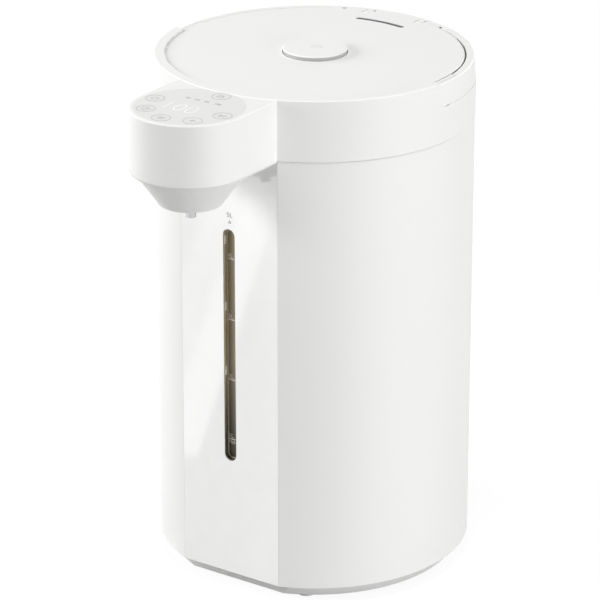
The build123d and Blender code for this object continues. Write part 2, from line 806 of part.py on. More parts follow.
# Spout nozzle: a steel outlet whose tail sits inside the pipe
with BuildPart() as spout_nozzle:
    with BuildSketch(Plane.XY.offset(nozzle_tip_z)):
        with Locations((0, -nose_reach)):
            Circle(nozzle_radius)
    extrude(amount=nozzle_collar_height)
    with BuildSketch(Plane.XY.offset(nozzle_shoulder_z)):
        with Locations((0, -nose_reach)):
            Circle(tube_radius)
    extrude(amount=nozzle_tail_height)
    with BuildSketch(Plane.XY.offset(nozzle_tip_z)):
        with Locations((0, -nose_reach)):
            Circle(nozzle_bore)
    extrude(amount=nozzle_collar_height + nozzle_tail_height, mode=Mode.SUBTRACT)
finish(spout_nozzle, "spout_nozzle")

# Inner pot: a drawn steel vessel with a drain stub
with BuildPart() as inner_pot:
    with BuildSketch(Plane.XY.offset(pot_base_z)):
        Circle(pot_outer_radius)
    extrude(amount=pot_top_z - pot_base_z)
    fillet(inner_pot.edges().group_by(Axis.Z)[0], radius=pot_corner + pot_wall)
    offset(amount=-pot_wall, openings=inner_pot.faces().sort_by(Axis.Z)[-1])
    with BuildSketch(Plane.XY.offset(pot_base_z)):
        with Locations((0, -drain_y)):
            Circle(drain_radius)
    extrude(amount=-drain_length)
    with BuildSketch(Plane.XY.offset(pot_floor_z)):
        with Locations((0, -drain_y)):
            Circle(drain_bore)
    extrude(amount=-drain_length - pot_wall, mode=Mode.SUBTRACT)
finish(inner_pot, "inner_pot")

# Pot seal: a silicone ring between the pot's rim and the throat
with BuildPart() as pot_seal:
    with BuildSketch(Plane.XY.offset(pot_top_z)):
        Circle(pot_outer_radius)
        Circle(throat_radius + sliding_gap, mode=Mode.SUBTRACT)
    extrude(amount=pot_seal_height)
finish(pot_seal, "pot_seal")

# Insulation wrap: felt round the pot, open at the front for the level tube
wrap_inner_radius = pot_outer_radius + wrap_gap / 2
wrap_z = pot_floor_z + wrap_bottom_above_floor
with BuildPart() as insulation_wrap:
    with BuildSketch(Plane.XY.offset(wrap_z)):
        Circle(wrap_inner_radius + wrap_thickness)
        Circle(wrap_inner_radius, mode=Mode.SUBTRACT)
        with Locations((0, -body_radius)):
            Rectangle(2 * wrap_slit_half_width, body_radius, mode=Mode.SUBTRACT)
    extrude(amount=seam_z - wrap_top_below_seam - wrap_z)
finish(insulation_wrap, "insulation_wrap")

# Pot stand: a ring on four legs that carries the pot above the base
with BuildPart() as pot_stand:
    with BuildSketch(Plane.XY.offset(pot_base_z)):
        Circle(stand_outer_radius)
        Circle(stand_inner_radius, mode=Mode.SUBTRACT)
    extrude(amount=-stand_thickness)
    with BuildSketch(Plane.XY.offset(floor_z)):
        with PolarLocations(stand_middle, stand_leg_count, start_angle=180 / stand_leg_count):
            Circle(stand_leg_radius)
    extrude(amount=pot_base_z - stand_thickness - floor_z)
finish(pot_stand, "pot_stand")

# Heater plate: an aluminium disc against the pot's bottom
with BuildPart() as heater_plate:
    with BuildSketch(Plane.XY.offset(heater_z)):
        Circle(heater_radius)
    extrude(amount=heater_thickness)
finish(heater_plate, "heater_plate")

# Heating element: an open ring of sheathed tube with two terminal pins
element_circle = heater_radius - element_inset
element_z = heater_z - element_radius - sliding_gap
element_sweep = 360 - element_open_angle
element_pin_turn = degrees(2 * element_pin_radius / element_circle)
with BuildPart() as heating_element:
    with BuildSketch(Plane.XZ):
        with Locations((element_circle, element_z)):
            Circle(element_radius)
    revolve(axis=Axis.Z, revolution_arc=element_sweep)
    with BuildSketch(Plane.XY.offset(element_z)):
        for turn in (element_pin_turn, element_sweep - element_pin_turn):
            with PolarLocations(element_circle, 1, start_angle=turn):
                Circle(element_pin_radius)
    extrude(amount=-element_radius - element_pin_length)
finish(heating_element, "heating_element")

# Thermostat: a button cut-out against the heater plate
element_inner_radius = element_circle - element_radius - element_side_gap
thermostat_x = element_inner_radius - thermostat_radius
with BuildPart() as thermostat:
    with BuildSketch(Plane.XY.offset(heater_z)):
        with Locations((thermostat_x, 0)):
            Circle(thermostat_radius)
    extrude(amount=-thermostat_height)
finish(thermostat, "thermostat")

# Temperature probe: a small sensor against the heater plate
probe_x = probe_radius - element_inner_radius
with BuildPart() as temperature_probe:
    with BuildSketch(Plane.XY.offset(heater_z)):
        with Locations((probe_x, 0)):
            Circle(probe_radius)
    extrude(amount=-probe_height)
finish(temperature_probe, "temperature_probe")

# Pump housing: a round chamber with an inlet above and an outlet to the front
chamber_radius = pump_radius - pump_wall
chamber_z = pump_z + pump_wall
chamber_height = pump_height - 2 * pump_wall
outlet_tip_y = drain_y + pump_radius + pump_stub_length
with BuildPart() as pump_housing:
    with BuildSketch(Plane.XY.offset(pump_z)):
        with Locations((0, -drain_y)):
            Circle(pump_radius)
    extrude(amount=pump_height)
    with BuildSketch(Plane.XY.offset(pump_top_z)):
        with Locations((0, -drain_y)):
            Circle(drain_radius)
    extrude(amount=pump_stub_length)
    with BuildSketch(Plane.XZ.offset(outlet_tip_y)):
        with Locations((0, outlet_z)):
            Circle(tube_radius)
    extrude(amount=drain_y + chamber_radius - outlet_tip_y)
    with BuildSketch(Plane.XY.offset(chamber_z)):
        with Locations((0, -drain_y)):
            Circle(chamber_radius)
    extrude(amount=chamber_height, mode=Mode.SUBTRACT)
    with BuildSketch(Plane.XY.offset(chamber_z + chamber_height)):
        with Locations((0, -drain_y)):
            Circle(drain_bore)
    extrude(amount=pump_wall + pump_stub_length, mode=Mode.SUBTRACT)
    with BuildSketch(Plane.XZ.offset(outlet_tip_y)):
        with Locations((0, outlet_z)):
            Circle(tube_bore)
    extrude(amount=drain_y - outlet_tip_y, mode=Mode.SUBTRACT)
    with BuildSketch(Plane.XY.offset(pump_z)):
        with Locations((0, -drain_y)):
            Circle(shaft_radius + fit_gap)
    extrude(amount=pump_wall, mode=Mode.SUBTRACT)
finish(pump_housing, "pump_housing")

# Pump motor: a can under the pump, standing on the base cover
with BuildPart() as pump_motor:
    with BuildSketch(Plane.XY.offset(floor_z)):
        with Locations((0, -drain_y)):
            Circle(motor_radius)
    extrude(amount=pump_z - floor_z)
    with BuildSketch(Plane.XY.offset(pump_z)):
        with Locations((0, -drain_y)):
            Circle(shaft_radius + sliding_gap)
    extrude(amount=-shaft_length, mode=Mode.SUBTRACT)
finish(pump_motor, "pump_motor")

# Pump impeller: a bladed disc on the motor's shaft
disc_z = chamber_z + 2 * fit_gap
impeller_radius = chamber_radius - impeller_gap
blade_length = impeller_radius - impeller_hub_radius / 2
with BuildPart() as pump_impeller:
    with BuildSketch(Plane.XY.offset(disc_z)):
        with Locations((0, -drain_y)):
            Circle(impeller_radius)
    extrude(amount=impeller_disc)
    with BuildSketch(Plane.XY.offset(disc_z + impeller_disc)):
        with Locations((0, -drain_y)):
            Circle(impeller_hub_radius)
            with PolarLocations(impeller_radius - blade_length / 2, impeller_blade_count):
                Rectangle(blade_length, impeller_blade_width)
        with Locations((0, -drain_y)):
            Circle(impeller_radius, mode=Mode.INTERSECT)
    extrude(amount=impeller_blade_height)
    with BuildSketch(Plane.XY.offset(disc_z)):
        with Locations((0, -drain_y)):
            Circle(shaft_radius)
    extrude(amount=pump_z - shaft_length + fit_gap - disc_z)
finish(pump_impeller, "pump_impeller")

# Inlet hose: a silicone sleeve from the pot's drain to the pump
hose_bottom_z = pump_top_z + fit_gap
hose_top_z = pot_base_z - fit_gap
hose_radius = drain_radius + sliding_gap + hose_wall
with BuildPart() as inlet_hose:
    with BuildSketch(Plane.XY.offset(hose_bottom_z)):
        with Locations((0, -drain_y)):
            Circle(hose_radius)
            Circle(drain_radius + sliding_gap, mode=Mode.SUBTRACT)
    extrude(amount=hose_top_z - hose_bottom_z)
finish(inlet_hose, "inlet_hose")

# Riser elbow: a moulded silicone bend from the pump to the level tube
elbow_start_y = drain_y + pump_radius + fit_gap
elbow_top_z = tube_bottom_z + elbow_overlap
elbow_radius = tube_radius + sliding_gap + elbow_wall
with BuildPart() as riser_elbow:
    with BuildLine() as elbow_path:
        FilletPolyline(
            (0, -elbow_start_y, outlet_z),
            (0, -tube_y, outlet_z),
            (0, -tube_y, elbow_top_z),
            radius=elbow_bend,
        )
    with BuildSketch(Plane.XZ.offset(elbow_start_y)):
        with Locations((0, outlet_z)):
            Circle(elbow_radius)
            Circle(tube_radius + sliding_gap, mode=Mode.SUBTRACT)
    sweep(path=elbow_path.wire())
finish(riser_elbow, "riser_elbow")

# Hose clips: spring bands on both ends of the inlet hose and on the elbow's foot
clip_radius = hose_radius + sliding_gap
elbow_clip_radius = elbow_radius + sliding_gap
with BuildPart() as hose_clips:
    for clip_z in (hose_bottom_z + clip_margin, hose_top_z - clip_margin - clip_height):
        with BuildSketch(Plane.XY.offset(clip_z)):
            with Locations((0, -drain_y)):
                Circle(clip_radius + clip_wall)
                Circle(clip_radius, mode=Mode.SUBTRACT)
        extrude(amount=clip_height)
    with BuildSketch(Plane.XZ.offset(elbow_start_y + clip_margin)):
        with Locations((0, outlet_z)):
            Circle(elbow_clip_radius + clip_wall)
            Circle(elbow_clip_radius, mode=Mode.SUBTRACT)
    extrude(amount=clip_height)
finish(hose_clips, "hose_clips")

# Power board on the base cover's standoffs
board_z = floor_z + standoff_height
board_top_z = board_z + board_thickness
with BuildPart() as power_board:
    with BuildSketch(Plane.XY.offset(board_z)):
        with Locations((0, power_board_y)):
            Rectangle(power_board_width, power_board_depth)
    extrude(amount=board_thickness)
finish(power_board, "power_board")

# Board parts: transformer, relay and two capacitors
with BuildPart() as board_parts:
    with BuildSketch(Plane.XY.offset(board_top_z)):
        with Locations((-power_board_width / 4, power_board_y)):
            Rectangle(transformer_width, transformer_depth)
    extrude(amount=transformer_height)
    with BuildSketch(Plane.XY.offset(board_top_z)):
        with Locations((power_board_width / 4, power_board_y - power_board_depth / 4)):
            Rectangle(relay_width, relay_depth)
    extrude(amount=relay_height)
    with BuildSketch(Plane.XY.offset(board_top_z)):
        with Locations((power_board_width / 4, power_board_y + power_board_depth / 4)):
            with GridLocations(3 * capacitor_radius, 0, 2, 1):
                Circle(capacitor_radius)
    extrude(amount=capacitor_height)
finish(board_parts, "board_parts")

# Mains inlet: a socket let into the back of the shell
inlet_flange_y = sqrt(shell_inner_radius**2 - (inlet_width / 2 + inlet_flange) ** 2) - fit_gap
cavity_width = inlet_width - 2 * inlet_wall
cavity_height = inlet_height - 2 * inlet_wall
with BuildPart() as mains_inlet:
    with BuildSketch(Plane.XZ.offset(-inlet_face_y)):
        with Locations((0, inlet_z)):
            RectangleRounded(inlet_width, inlet_height, inlet_corner)
    extrude(amount=inlet_depth)
    with BuildSketch(Plane.XZ.offset(-inlet_flange_y)):
        with Locations((0, inlet_z)):
            RectangleRounded(inlet_width + 2 * inlet_flange, inlet_height + 2 * inlet_flange, inlet_corner)
    extrude(amount=inlet_flange_thickness)
    with BuildSketch(Plane.XZ.offset(-inlet_face_y)):
        with Locations((0, inlet_z)):
            RectangleRounded(cavity_width, cavity_height, inlet_corner - inlet_wall / 2)
    extrude(amount=inlet_cavity_depth, mode=Mode.SUBTRACT)
    with BuildSketch(Plane.XZ.offset(-inlet_face_y + inlet_cavity_depth)):
        with Locations((0, inlet_z)):
            with GridLocations(pin_pitch, 0, 3, 1):
                Rectangle(pin_width + 2 * sliding_gap, pin_tall + 2 * sliding_gap)
    extrude(amount=inlet_depth, mode=Mode.SUBTRACT)
finish(mains_inlet, "mains_inlet")

# Inlet pins: three flat blades in the socket
with BuildPart() as inlet_pins:
    with BuildSketch(Plane.XZ.offset(-inlet_face_y + inlet_cavity_depth - pin_length)):
        with Locations((0, inlet_z)):
            with GridLocations(pin_pitch, 0, 3, 1):
                Rectangle(pin_width, pin_tall)
    extrude(amount=pin_length + pin_root)
finish(inlet_pins, "inlet_pins")

# Lid cover: the round top with the button's well, hinge ears and screw bosses
lid_screw_places = four_places(lid_screw_circle, lid_screw_angle)
ear_x = (hinge_arm_width + hinge_ear_width) / 2 + hinge_side_gap
hinge_half_length = ear_x + hinge_ear_width / 2
notch_width = hinge_arm_width + 2 * hinge_side_gap
notch_front_y = hinge_y - hinge_arm_radius - hinge_side_gap
with BuildPart() as lid_cover:
    with BuildSketch(Plane.XY.offset(lid_bottom_z)):
        Circle(lid_radius)
    extrude(amount=lid_top_z - lid_bottom_z)
    fillet(lid_cover.edges().group_by(Axis.Z)[-1], radius=lid_edge_rounding)
    with BuildSketch(Plane.XY.offset(lid_bottom_z)):
        Circle(lid_radius - lid_side_wall)
    extrude(amount=lid_skin_z - lid_bottom_z, mode=Mode.SUBTRACT)
    with BuildSketch(Plane.XY.offset(well_floor_z - well_floor)):
        Circle(well_radius + well_wall)
    extrude(amount=lid_skin_z - well_floor_z + well_floor)
    with BuildSketch(Plane.XY.offset(lid_top_z)):
        Circle(well_radius)
    extrude(amount=well_floor_z - lid_top_z, mode=Mode.SUBTRACT)
    with BuildSketch(Plane.XY.offset(well_floor_z)):
        Rectangle(stem_size + 2 * fit_gap, stem_size + 2 * fit_gap)
    extrude(amount=-well_floor, mode=Mode.SUBTRACT)
    with BuildSketch(Plane.XY.offset(lid_skin_z)):
        steam_arc = CenterArc(
            (0, 0),
            steam_slot_circle,
            start_angle=90 - steam_slot_half_angle,
            arc_size=2 * steam_slot_half_angle,
            mode=Mode.PRIVATE,
        )
        SlotArc(steam_arc, steam_slot_width)
    extrude(amount=lid_skin, mode=Mode.SUBTRACT)
    with BuildSketch(Plane.XY.offset(lid_flange_top_z)):
        with Locations(*lid_screw_places):
            Circle(lid_boss_radius)
            Circle(lid_screw_radius + sliding_gap, mode=Mode.SUBTRACT)
    extrude(amount=lid_skin_z - lid_flange_top_z)
    for side in (-1, 1):
        for offset_x in (-ear_x, ear_x):
            with BuildSketch(Plane.YZ.offset(side * hinge_arm_x + offset_x - hinge_ear_width / 2)):
                with Locations((hinge_y, hinge_z)):
                    Circle(hinge_arm_radius)
            extrude(amount=hinge_ear_width)
        with BuildSketch(Plane.YZ.offset(side * hinge_arm_x - hinge_half_length)):
            with Locations((hinge_y, hinge_z)):
                Circle(hinge_pin_radius + sliding_gap)
        extrude(amount=2 * hinge_half_length, mode=Mode.SUBTRACT)
        with Locations((side * hinge_arm_x, notch_front_y + lid_radius / 2, lid_bottom_z)):
            Box(
                notch_width,
                lid_radius,
                lid_top_z - lid_bottom_z,
                align=(Align.CENTER, Align.CENTER, Align.MIN),
                mode=Mode.SUBTRACT,
            )
    with Locations((0, -lid_radius, bolt_high_z + bolt_thickness / 2)):
        Box(
            bolt_width + 2 * fit_gap,
            lid_side_wall + lid_radius / 4,
            bolt_thickness + 2 * fit_gap,
            mode=Mode.SUBTRACT,
        )
finish(lid_cover, "lid_cover")

# Lid base: the flange that closes the lid and the hollow plug in the throat
gasket_top_z = lid_bottom_z + gasket_groove
gasket_inner_radius = throat_radius + gasket_inset
gasket_outer_radius = gasket_inner_radius + gasket_width
guide_x = bolt_width / 2 + fit_gap + bolt_guide_width / 2
guide_y = lid_flange_radius - bolt_guide_length
post_y = bolt_rear_y + latch_spring_length + spring_wire + spring_post_thickness / 2
with BuildPart() as lid_base:
    with BuildSketch(Plane.XY.offset(lid_bottom_z)):
        Circle(lid_flange_radius)
    extrude(amount=lid_flange_thickness)
    with BuildSketch(Plane.XY.offset(plug_z)):
        Circle(plug_radius)
    extrude(amount=plug_depth)
    with BuildSketch(Plane.XY.offset(plug_z + plug_wall)):
        Circle(plug_radius - plug_wall)
    extrude(amount=plug_depth + lid_flange_thickness, mode=Mode.SUBTRACT)
    with BuildSketch(Plane.XY.offset(lid_bottom_z)):
        Circle(gasket_outer_radius)
        Circle(gasket_inner_radius, mode=Mode.SUBTRACT)
    extrude(amount=gasket_groove, mode=Mode.SUBTRACT)
    for side in (-1, 1):
        with Locations((side * hinge_arm_x, notch_front_y + lid_radius / 2, lid_bottom_z)):
            Box(
                notch_width,
                lid_radius,
                lid_flange_thickness,
                align=(Align.CENTER, Align.CENTER, Align.MIN),
                mode=Mode.SUBTRACT,
            )
    with BuildSketch(Plane.XY.offset(lid_flange_top_z)):
        with Locations((guide_x, -guide_y), (-guide_x, -guide_y)):
            Rectangle(bolt_guide_width, bolt_guide_length)
    extrude(amount=bolt_thickness)
    with BuildSketch(Plane.XY.offset(plug_z + plug_wall)):
        with Locations((0, post_y)):
            Rectangle(spring_post_width, spring_post_thickness)
    extrude(amount=bolt_low_top_z + bolt_drop / 2 - plug_z - plug_wall)
    with BuildSketch(Plane.XY.offset(plug_z + plug_wall)):
        with Locations((0, -(bolt_riser_y + stem_size) / 2)):
            Rectangle(bolt_width, spring_post_thickness)
    extrude(amount=bolt_low_z - fit_gap - plug_z - plug_wall)
    with BuildSketch(Plane.XY.offset(lid_bottom_z)):
        with Locations(*lid_screw_places):
            Circle(lid_screw_radius + sliding_gap)
    extrude(amount=lid_flange_thickness, mode=Mode.SUBTRACT)
    with BuildSketch(Plane.XY.offset(lid_bottom_z)):
        with Locations(*lid_screw_places):
            Circle(lid_screw_head_radius + sliding_gap)
    extrude(amount=lid_screw_radius, mode=Mode.SUBTRACT)
    with BuildSketch(Plane.XY.offset(plug_z)):
        with Locations((0, steam_hole_y)):
            with GridLocations(steam_hole_pitch, 0, steam_hole_count, 1):
                Circle(steam_hole_radius)
    extrude(amount=plug_wall, mode=Mode.SUBTRACT)
finish(lid_base, "lid_base")

# Lid liner: a steel disc on the plug's underside
with BuildPart() as lid_liner:
    with BuildSketch(Plane.XY.offset(plug_z)):
        Circle(plug_radius - liner_inset)
        with Locations((0, steam_hole_y)):
            with GridLocations(steam_hole_pitch, 0, steam_hole_count, 1):
                Circle(steam_hole_radius, mode=Mode.SUBTRACT)
    extrude(amount=-liner_thickness)
finish(lid_liner, "lid_liner")

# Lid gasket: a silicone ring in the lid base's groove
with BuildPart() as lid_gasket:
    with BuildSketch(Plane.XY.offset(gasket_top_z)):
        Circle(gasket_outer_radius - sliding_gap)
        Circle(gasket_inner_radius + sliding_gap, mode=Mode.SUBTRACT)
    extrude(amount=seat_z + fit_gap - gasket_top_z)
finish(lid_gasket, "lid_gasket")

# Vent trap: a dark tray under the steam slot
trap_width = steam_slot_width + 2 * trap_margin
trap_z = lid_flange_top_z + trap_gap
with BuildPart() as vent_trap:
    with BuildSketch(Plane.XY.offset(lid_skin_z)):
        trap_arc = CenterArc(
            (0, 0),
            steam_slot_circle,
            start_angle=90 - steam_slot_half_angle,
            arc_size=2 * steam_slot_half_angle,
            mode=Mode.PRIVATE,
        )
        SlotArc(trap_arc, trap_width)
    extrude(amount=trap_z - lid_skin_z)
    with BuildSketch(Plane.XY.offset(lid_skin_z)):
        SlotArc(trap_arc, trap_width - 2 * trap_wall)
    extrude(amount=trap_z + trap_wall - lid_skin_z, mode=Mode.SUBTRACT)
finish(vent_trap, "vent_trap")

# Lid screws: up through the flange into the lid cover's bosses
lid_screw_seat_z = lid_bottom_z + lid_screw_radius
with BuildPart() as lid_screws:
    with BuildSketch(Plane.XY.offset(lid_bottom_z)):
        with Locations(*lid_screw_places):
            Circle(lid_screw_head_radius)
    extrude(amount=lid_screw_radius)
    with BuildSketch(Plane.XY.offset(lid_screw_seat_z)):
        with Locations(*lid_screw_places):
            Circle(lid_screw_radius)
    extrude(amount=lid_screw_length - lid_screw_radius)
finish(lid_screws, "lid_screws")

# Hinge pins: two short steel rods through the housing's arms and the lid's ears
with BuildPart() as hinge_pins:
    for side in (-1, 1):
        with BuildSketch(Plane.YZ.offset(side * hinge_arm_x - hinge_half_length)):
            with Locations((hinge_y, hinge_z)):
                Circle(hinge_pin_radius)
        extrude(amount=2 * hinge_half_length)
finish(hinge_pins, "hinge_pins")

# Lid button: a hollow cap on a square stem with a ramp at its foot
button_top_z = lid_top_z + button_rise
button_roof_z = button_top_z - button_skin
stem_z = well_floor_z - stem_below_well
with BuildPart() as lid_button:
    with BuildSketch(Plane.XY.offset(button_bottom_z)):
        Circle(button_radius)
    extrude(amount=button_top_z - button_bottom_z)
    fillet(lid_button.edges().group_by(Axis.Z)[-1], radius=button_rounding)
    with BuildSketch(Plane.XY.offset(button_bottom_z)):
        Circle(button_radius - button_wall)
    extrude(amount=button_roof_z - button_bottom_z, mode=Mode.SUBTRACT)
    with BuildSketch(Plane.YZ.offset(-stem_size / 2)):
        with BuildLine():
            Polyline(
                (-stem_size / 2, stem_z),
                (stem_size / 2, stem_z + stem_size),
                (stem_size / 2, button_roof_z),
                (-stem_size / 2, button_roof_z),
                close=True,
            )
        make_face()
    extrude(amount=stem_size)
finish(lid_button, "lid_button")

# Button spring: a coil between the well's floor and the button's roof
button_spring_height = button_roof_z - well_floor_z - 2 * spring_wire - 2 * sliding_gap
with BuildPart() as button_spring:
    with BuildLine() as button_coil:
        Helix(
            pitch=button_spring_height / button_spring_turns,
            height=button_spring_height,
            radius=button_spring_radius,
            center=(0, 0, well_floor_z + spring_wire + sliding_gap),
        )
    with BuildSketch(Plane(origin=button_coil.wire() @ 0, z_dir=button_coil.wire() % 0)):
        Circle(spring_wire)
    sweep(path=button_coil.wire(), is_frenet=True)
finish(button_spring, "button_spring")

# Latch bolt: a cranked bar that the stem's ramp draws back
ramp_foot_y = bolt_low_z - stem_z - stem_size / 2 + ramp_gap
window_front_y = -stem_size / 2 - button_travel - fit_gap
bolt_tip_y = lid_radius + bolt_reach
bolt_window_half = stem_size / 2 + fit_gap
bolt_outline = [
    (bolt_rear_y, bolt_low_z),
    (bolt_rear_y, bolt_low_top_z),
    (-bolt_riser_y, bolt_low_top_z),
    (-bolt_riser_y, bolt_high_top_z),
    (-bolt_tip_y, bolt_high_top_z),
    (-bolt_tip_y, bolt_high_z),
    (-bolt_riser_y - bolt_thickness, bolt_high_z),
    (-bolt_riser_y - bolt_thickness, bolt_low_z),
]
with BuildPart() as latch_bolt:
    with BuildSketch(Plane.YZ.offset(-bolt_width / 2)):
        with BuildLine():
            Polyline(*bolt_outline, close=True)
        make_face()
    extrude(amount=bolt_width)
    with BuildSketch(Plane.YZ.offset(-bolt_window_half)):
        with BuildLine():
            Polyline(
                (window_front_y, bolt_low_z),
                (window_front_y, bolt_low_top_z),
                (ramp_foot_y + bolt_thickness, bolt_low_top_z),
                (ramp_foot_y, bolt_low_z),
                close=True,
            )
        make_face()
    extrude(amount=2 * bolt_window_half, mode=Mode.SUBTRACT)
finish(latch_bolt, "latch_bolt")

# Latch spring: a small coil that pushes the bolt to the front
latch_spring_z = (bolt_low_z + bolt_low_top_z) / 2
latch_spring_run = latch_spring_length - spring_wire
with BuildPart() as latch_spring:
    with BuildLine() as latch_coil:
        Helix(
            pitch=latch_spring_run / latch_spring_turns,
            height=latch_spring_run,
            radius=latch_spring_radius,
            center=(0, bolt_rear_y + spring_wire + sliding_gap, latch_spring_z),
            direction=(0, 1, 0),
        )
    with BuildSketch(Plane(origin=latch_coil.wire() @ 0, z_dir=latch_coil.wire() % 0)):
        Circle(spring_wire)
    sweep(path=latch_coil.wire(), is_frenet=True)
finish(latch_spring, "latch_spring")

# Carry handle: a half ring that lies flush round the back of the collar
handle_front_y = handle_end_y - handle_end_gap
handle_hole_x = handle_pin_end_x + fit_gap
open_lid_y = hinge_y + lid_top_z - hinge_z + fit_gap
open_lid_half = sqrt(lid_radius**2 - (hinge_y - handle_top_z + hinge_z) ** 2)
relief_radius = sqrt(open_lid_y**2 + open_lid_half**2) + fit_gap
relief_half_width = open_lid_half + heel_side_gap
with BuildPart() as carry_handle:
    with BuildSketch(Plane.XZ):
        with BuildLine():
            Polyline(
                (handle_inner_radius, handle_z),
                (handle_outer_radius, handle_z),
                (handle_outer_radius - handle_taper, handle_top_z),
                (handle_inner_radius, handle_top_z),
                close=True,
            )
        make_face()
    revolve(axis=Axis.Z)
    fillet(carry_handle.edges().filter_by(GeomType.CIRCLE), radius=handle_rounding)
    with BuildSketch(Plane.XY.offset(handle_z)):
        with Locations((0, -handle_front_y - collar_radius)):
            Rectangle(4 * collar_radius, 2 * collar_radius)
    extrude(amount=handle_height, mode=Mode.SUBTRACT)
    with BuildSketch(Plane.XY.offset(handle_z)):
        with Locations((0, handle_pivot_y + handle_tab_length - collar_radius)):
            Rectangle(2 * handle_tab_inner_x, 2 * collar_radius)
    extrude(amount=handle_height, mode=Mode.SUBTRACT)
    with BuildSketch(Plane.XY.offset(handle_z)):
        Circle(relief_radius)
        with Locations((0, collar_radius)):
            Rectangle(2 * relief_half_width, 2 * collar_radius, mode=Mode.INTERSECT)
    extrude(amount=handle_height, mode=Mode.SUBTRACT)
    with BuildSketch(Plane.YZ.offset(-collar_radius - cut_over)):
        with Locations((handle_pivot_y - handle_height, handle_pivot_z - handle_height)):
            Rectangle(2 * handle_height, 2 * handle_height)
        with Locations((handle_pivot_y, handle_pivot_z)):
            Circle(handle_toe_radius, mode=Mode.SUBTRACT)
    extrude(amount=2 * collar_radius + 2 * cut_over, mode=Mode.SUBTRACT)
    with BuildSketch(Plane.YZ.offset(-handle_hole_x)):
        with Locations((handle_pivot_y, handle_pivot_z)):
            Circle(handle_pin_radius + sliding_gap)
    extrude(amount=2 * handle_hole_x, mode=Mode.SUBTRACT)
finish(carry_handle, "carry_handle")

# Handle pins: short steel pins from the housing's lugs into the handle
with BuildPart() as handle_pins:
    for side in (-1, 1):
        with BuildSketch(Plane.YZ.offset(side * lug_inner_x)):
            with Locations((handle_pivot_y, handle_pivot_z)):
                Circle(handle_pin_radius)
        extrude(amount=side * (handle_pin_end_x - lug_inner_x))
finish(handle_pins, "handle_pins")
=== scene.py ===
import math

import bpy
import numpy as np
from mathutils import Matrix, Vector


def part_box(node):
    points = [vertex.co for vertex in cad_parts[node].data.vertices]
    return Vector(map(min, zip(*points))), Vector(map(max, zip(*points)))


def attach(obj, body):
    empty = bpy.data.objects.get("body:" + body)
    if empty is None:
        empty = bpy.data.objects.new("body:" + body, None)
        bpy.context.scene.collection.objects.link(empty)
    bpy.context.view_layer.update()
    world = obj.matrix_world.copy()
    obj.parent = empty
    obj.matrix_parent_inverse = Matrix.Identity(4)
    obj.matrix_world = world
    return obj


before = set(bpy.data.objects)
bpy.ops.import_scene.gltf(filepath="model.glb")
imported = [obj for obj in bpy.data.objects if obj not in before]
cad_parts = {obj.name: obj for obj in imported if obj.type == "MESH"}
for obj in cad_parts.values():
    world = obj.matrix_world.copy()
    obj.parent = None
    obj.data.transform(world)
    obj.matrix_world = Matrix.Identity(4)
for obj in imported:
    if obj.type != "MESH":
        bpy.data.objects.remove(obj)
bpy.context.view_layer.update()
mm = 0.001


# Inner pot, the liner under the lid and the spout's nozzle: the parts that the water touches.
# They are drawn from stainless steel; the pot is then blasted, the liner and nozzle polished on a lathe.
# The pot hangs in the collar's throat, the liner is screwed under the lid, the nozzle is pressed in.
def linear(code):
    """The linear colour of an sRGB hex code, by the sRGB curve, with full alpha."""
    srgb = np.array([int(code[at : at + 2], 16) for at in (1, 3, 5)]) / 255
    curve = np.where(srgb <= 0.04045, srgb / 12.92, ((srgb + 0.055) / 1.055) ** 2.4)
    return (*curve.tolist(), 1.0)


def add(tree, kind, feeds=None, **settings):
    """Add a node: settings are its own properties, feeds its inputs, each a value or an output to link."""
    made = tree.nodes.new(kind)
    for name, value in settings.items():
        setattr(made, name, value)
    for name, value in (feeds or {}).items():
        if isinstance(value, bpy.types.NodeSocket):
            tree.links.new(value, made.inputs[name])
        else:
            made.inputs[name].default_value = value
    return made


def new_finish(name, **sockets):
    """A material whose one shader holds these constants on its own sockets, underscores being spaces."""
    finish = bpy.data.materials.new(name)
    finish.use_nodes = True
    shader = finish.node_tree.nodes["Principled BSDF"]
    for socket, value in sockets.items():
        shader.inputs[socket.replace("_", " ")].default_value = value
    return finish


def grain(finish, size, colours, roughness, relief, stretch=(1, 1, 1)):
    """Break up a finish with noise whose lumps are size across, and longer by stretch along each axis.
    The noise moves the colour between the two codes, the roughness between the two values,
    and the height of the surface by relief. Most of the noise lies between its calm and strong values."""
    calm, strong = 0.3, 0.7
    tree = finish.node_tree
    shader = tree.nodes["Principled BSDF"]
    place = add(tree, "ShaderNodeTexCoord").outputs["Object"]
    scale = [1 / (size * longer) for longer in stretch]
    scaled = add(tree, "ShaderNodeMapping", {"Vector": place, "Scale": scale}).outputs["Vector"]
    noise = add(tree, "ShaderNodeTexNoise", {"Vector": scaled, "Scale": 1.0, "Detail": 2.0}).outputs["Fac"]
    tint = add(tree, "ShaderNodeValToRGB", {"Fac": noise})
    for stop, position, code in zip(tint.color_ramp.elements, (calm, strong), colours):
        stop.position = position
        stop.color = linear(code)
    smooth, rough = roughness
    gloss = add(
        tree,
        "ShaderNodeMapRange",
        {"Value": noise, "From Min": calm, "From Max": strong, "To Min": smooth, "To Max": rough},
    )
    bump = add(tree, "ShaderNodeBump", {"Height": noise, "Distance": relief})
    tree.links.new(tint.outputs["Color"], shader.inputs["Base Color"])
    tree.links.new(gloss.outputs["Result"], shader.inputs["Roughness"])
    tree.links.new(bump.outputs["Normal"], shader.inputs["Normal"])


def dress(finish, *names):
    """Put a finish in every material slot of these CAD nodes."""
    for name in names:
        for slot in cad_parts[name].material_slots:
            slot.material = finish


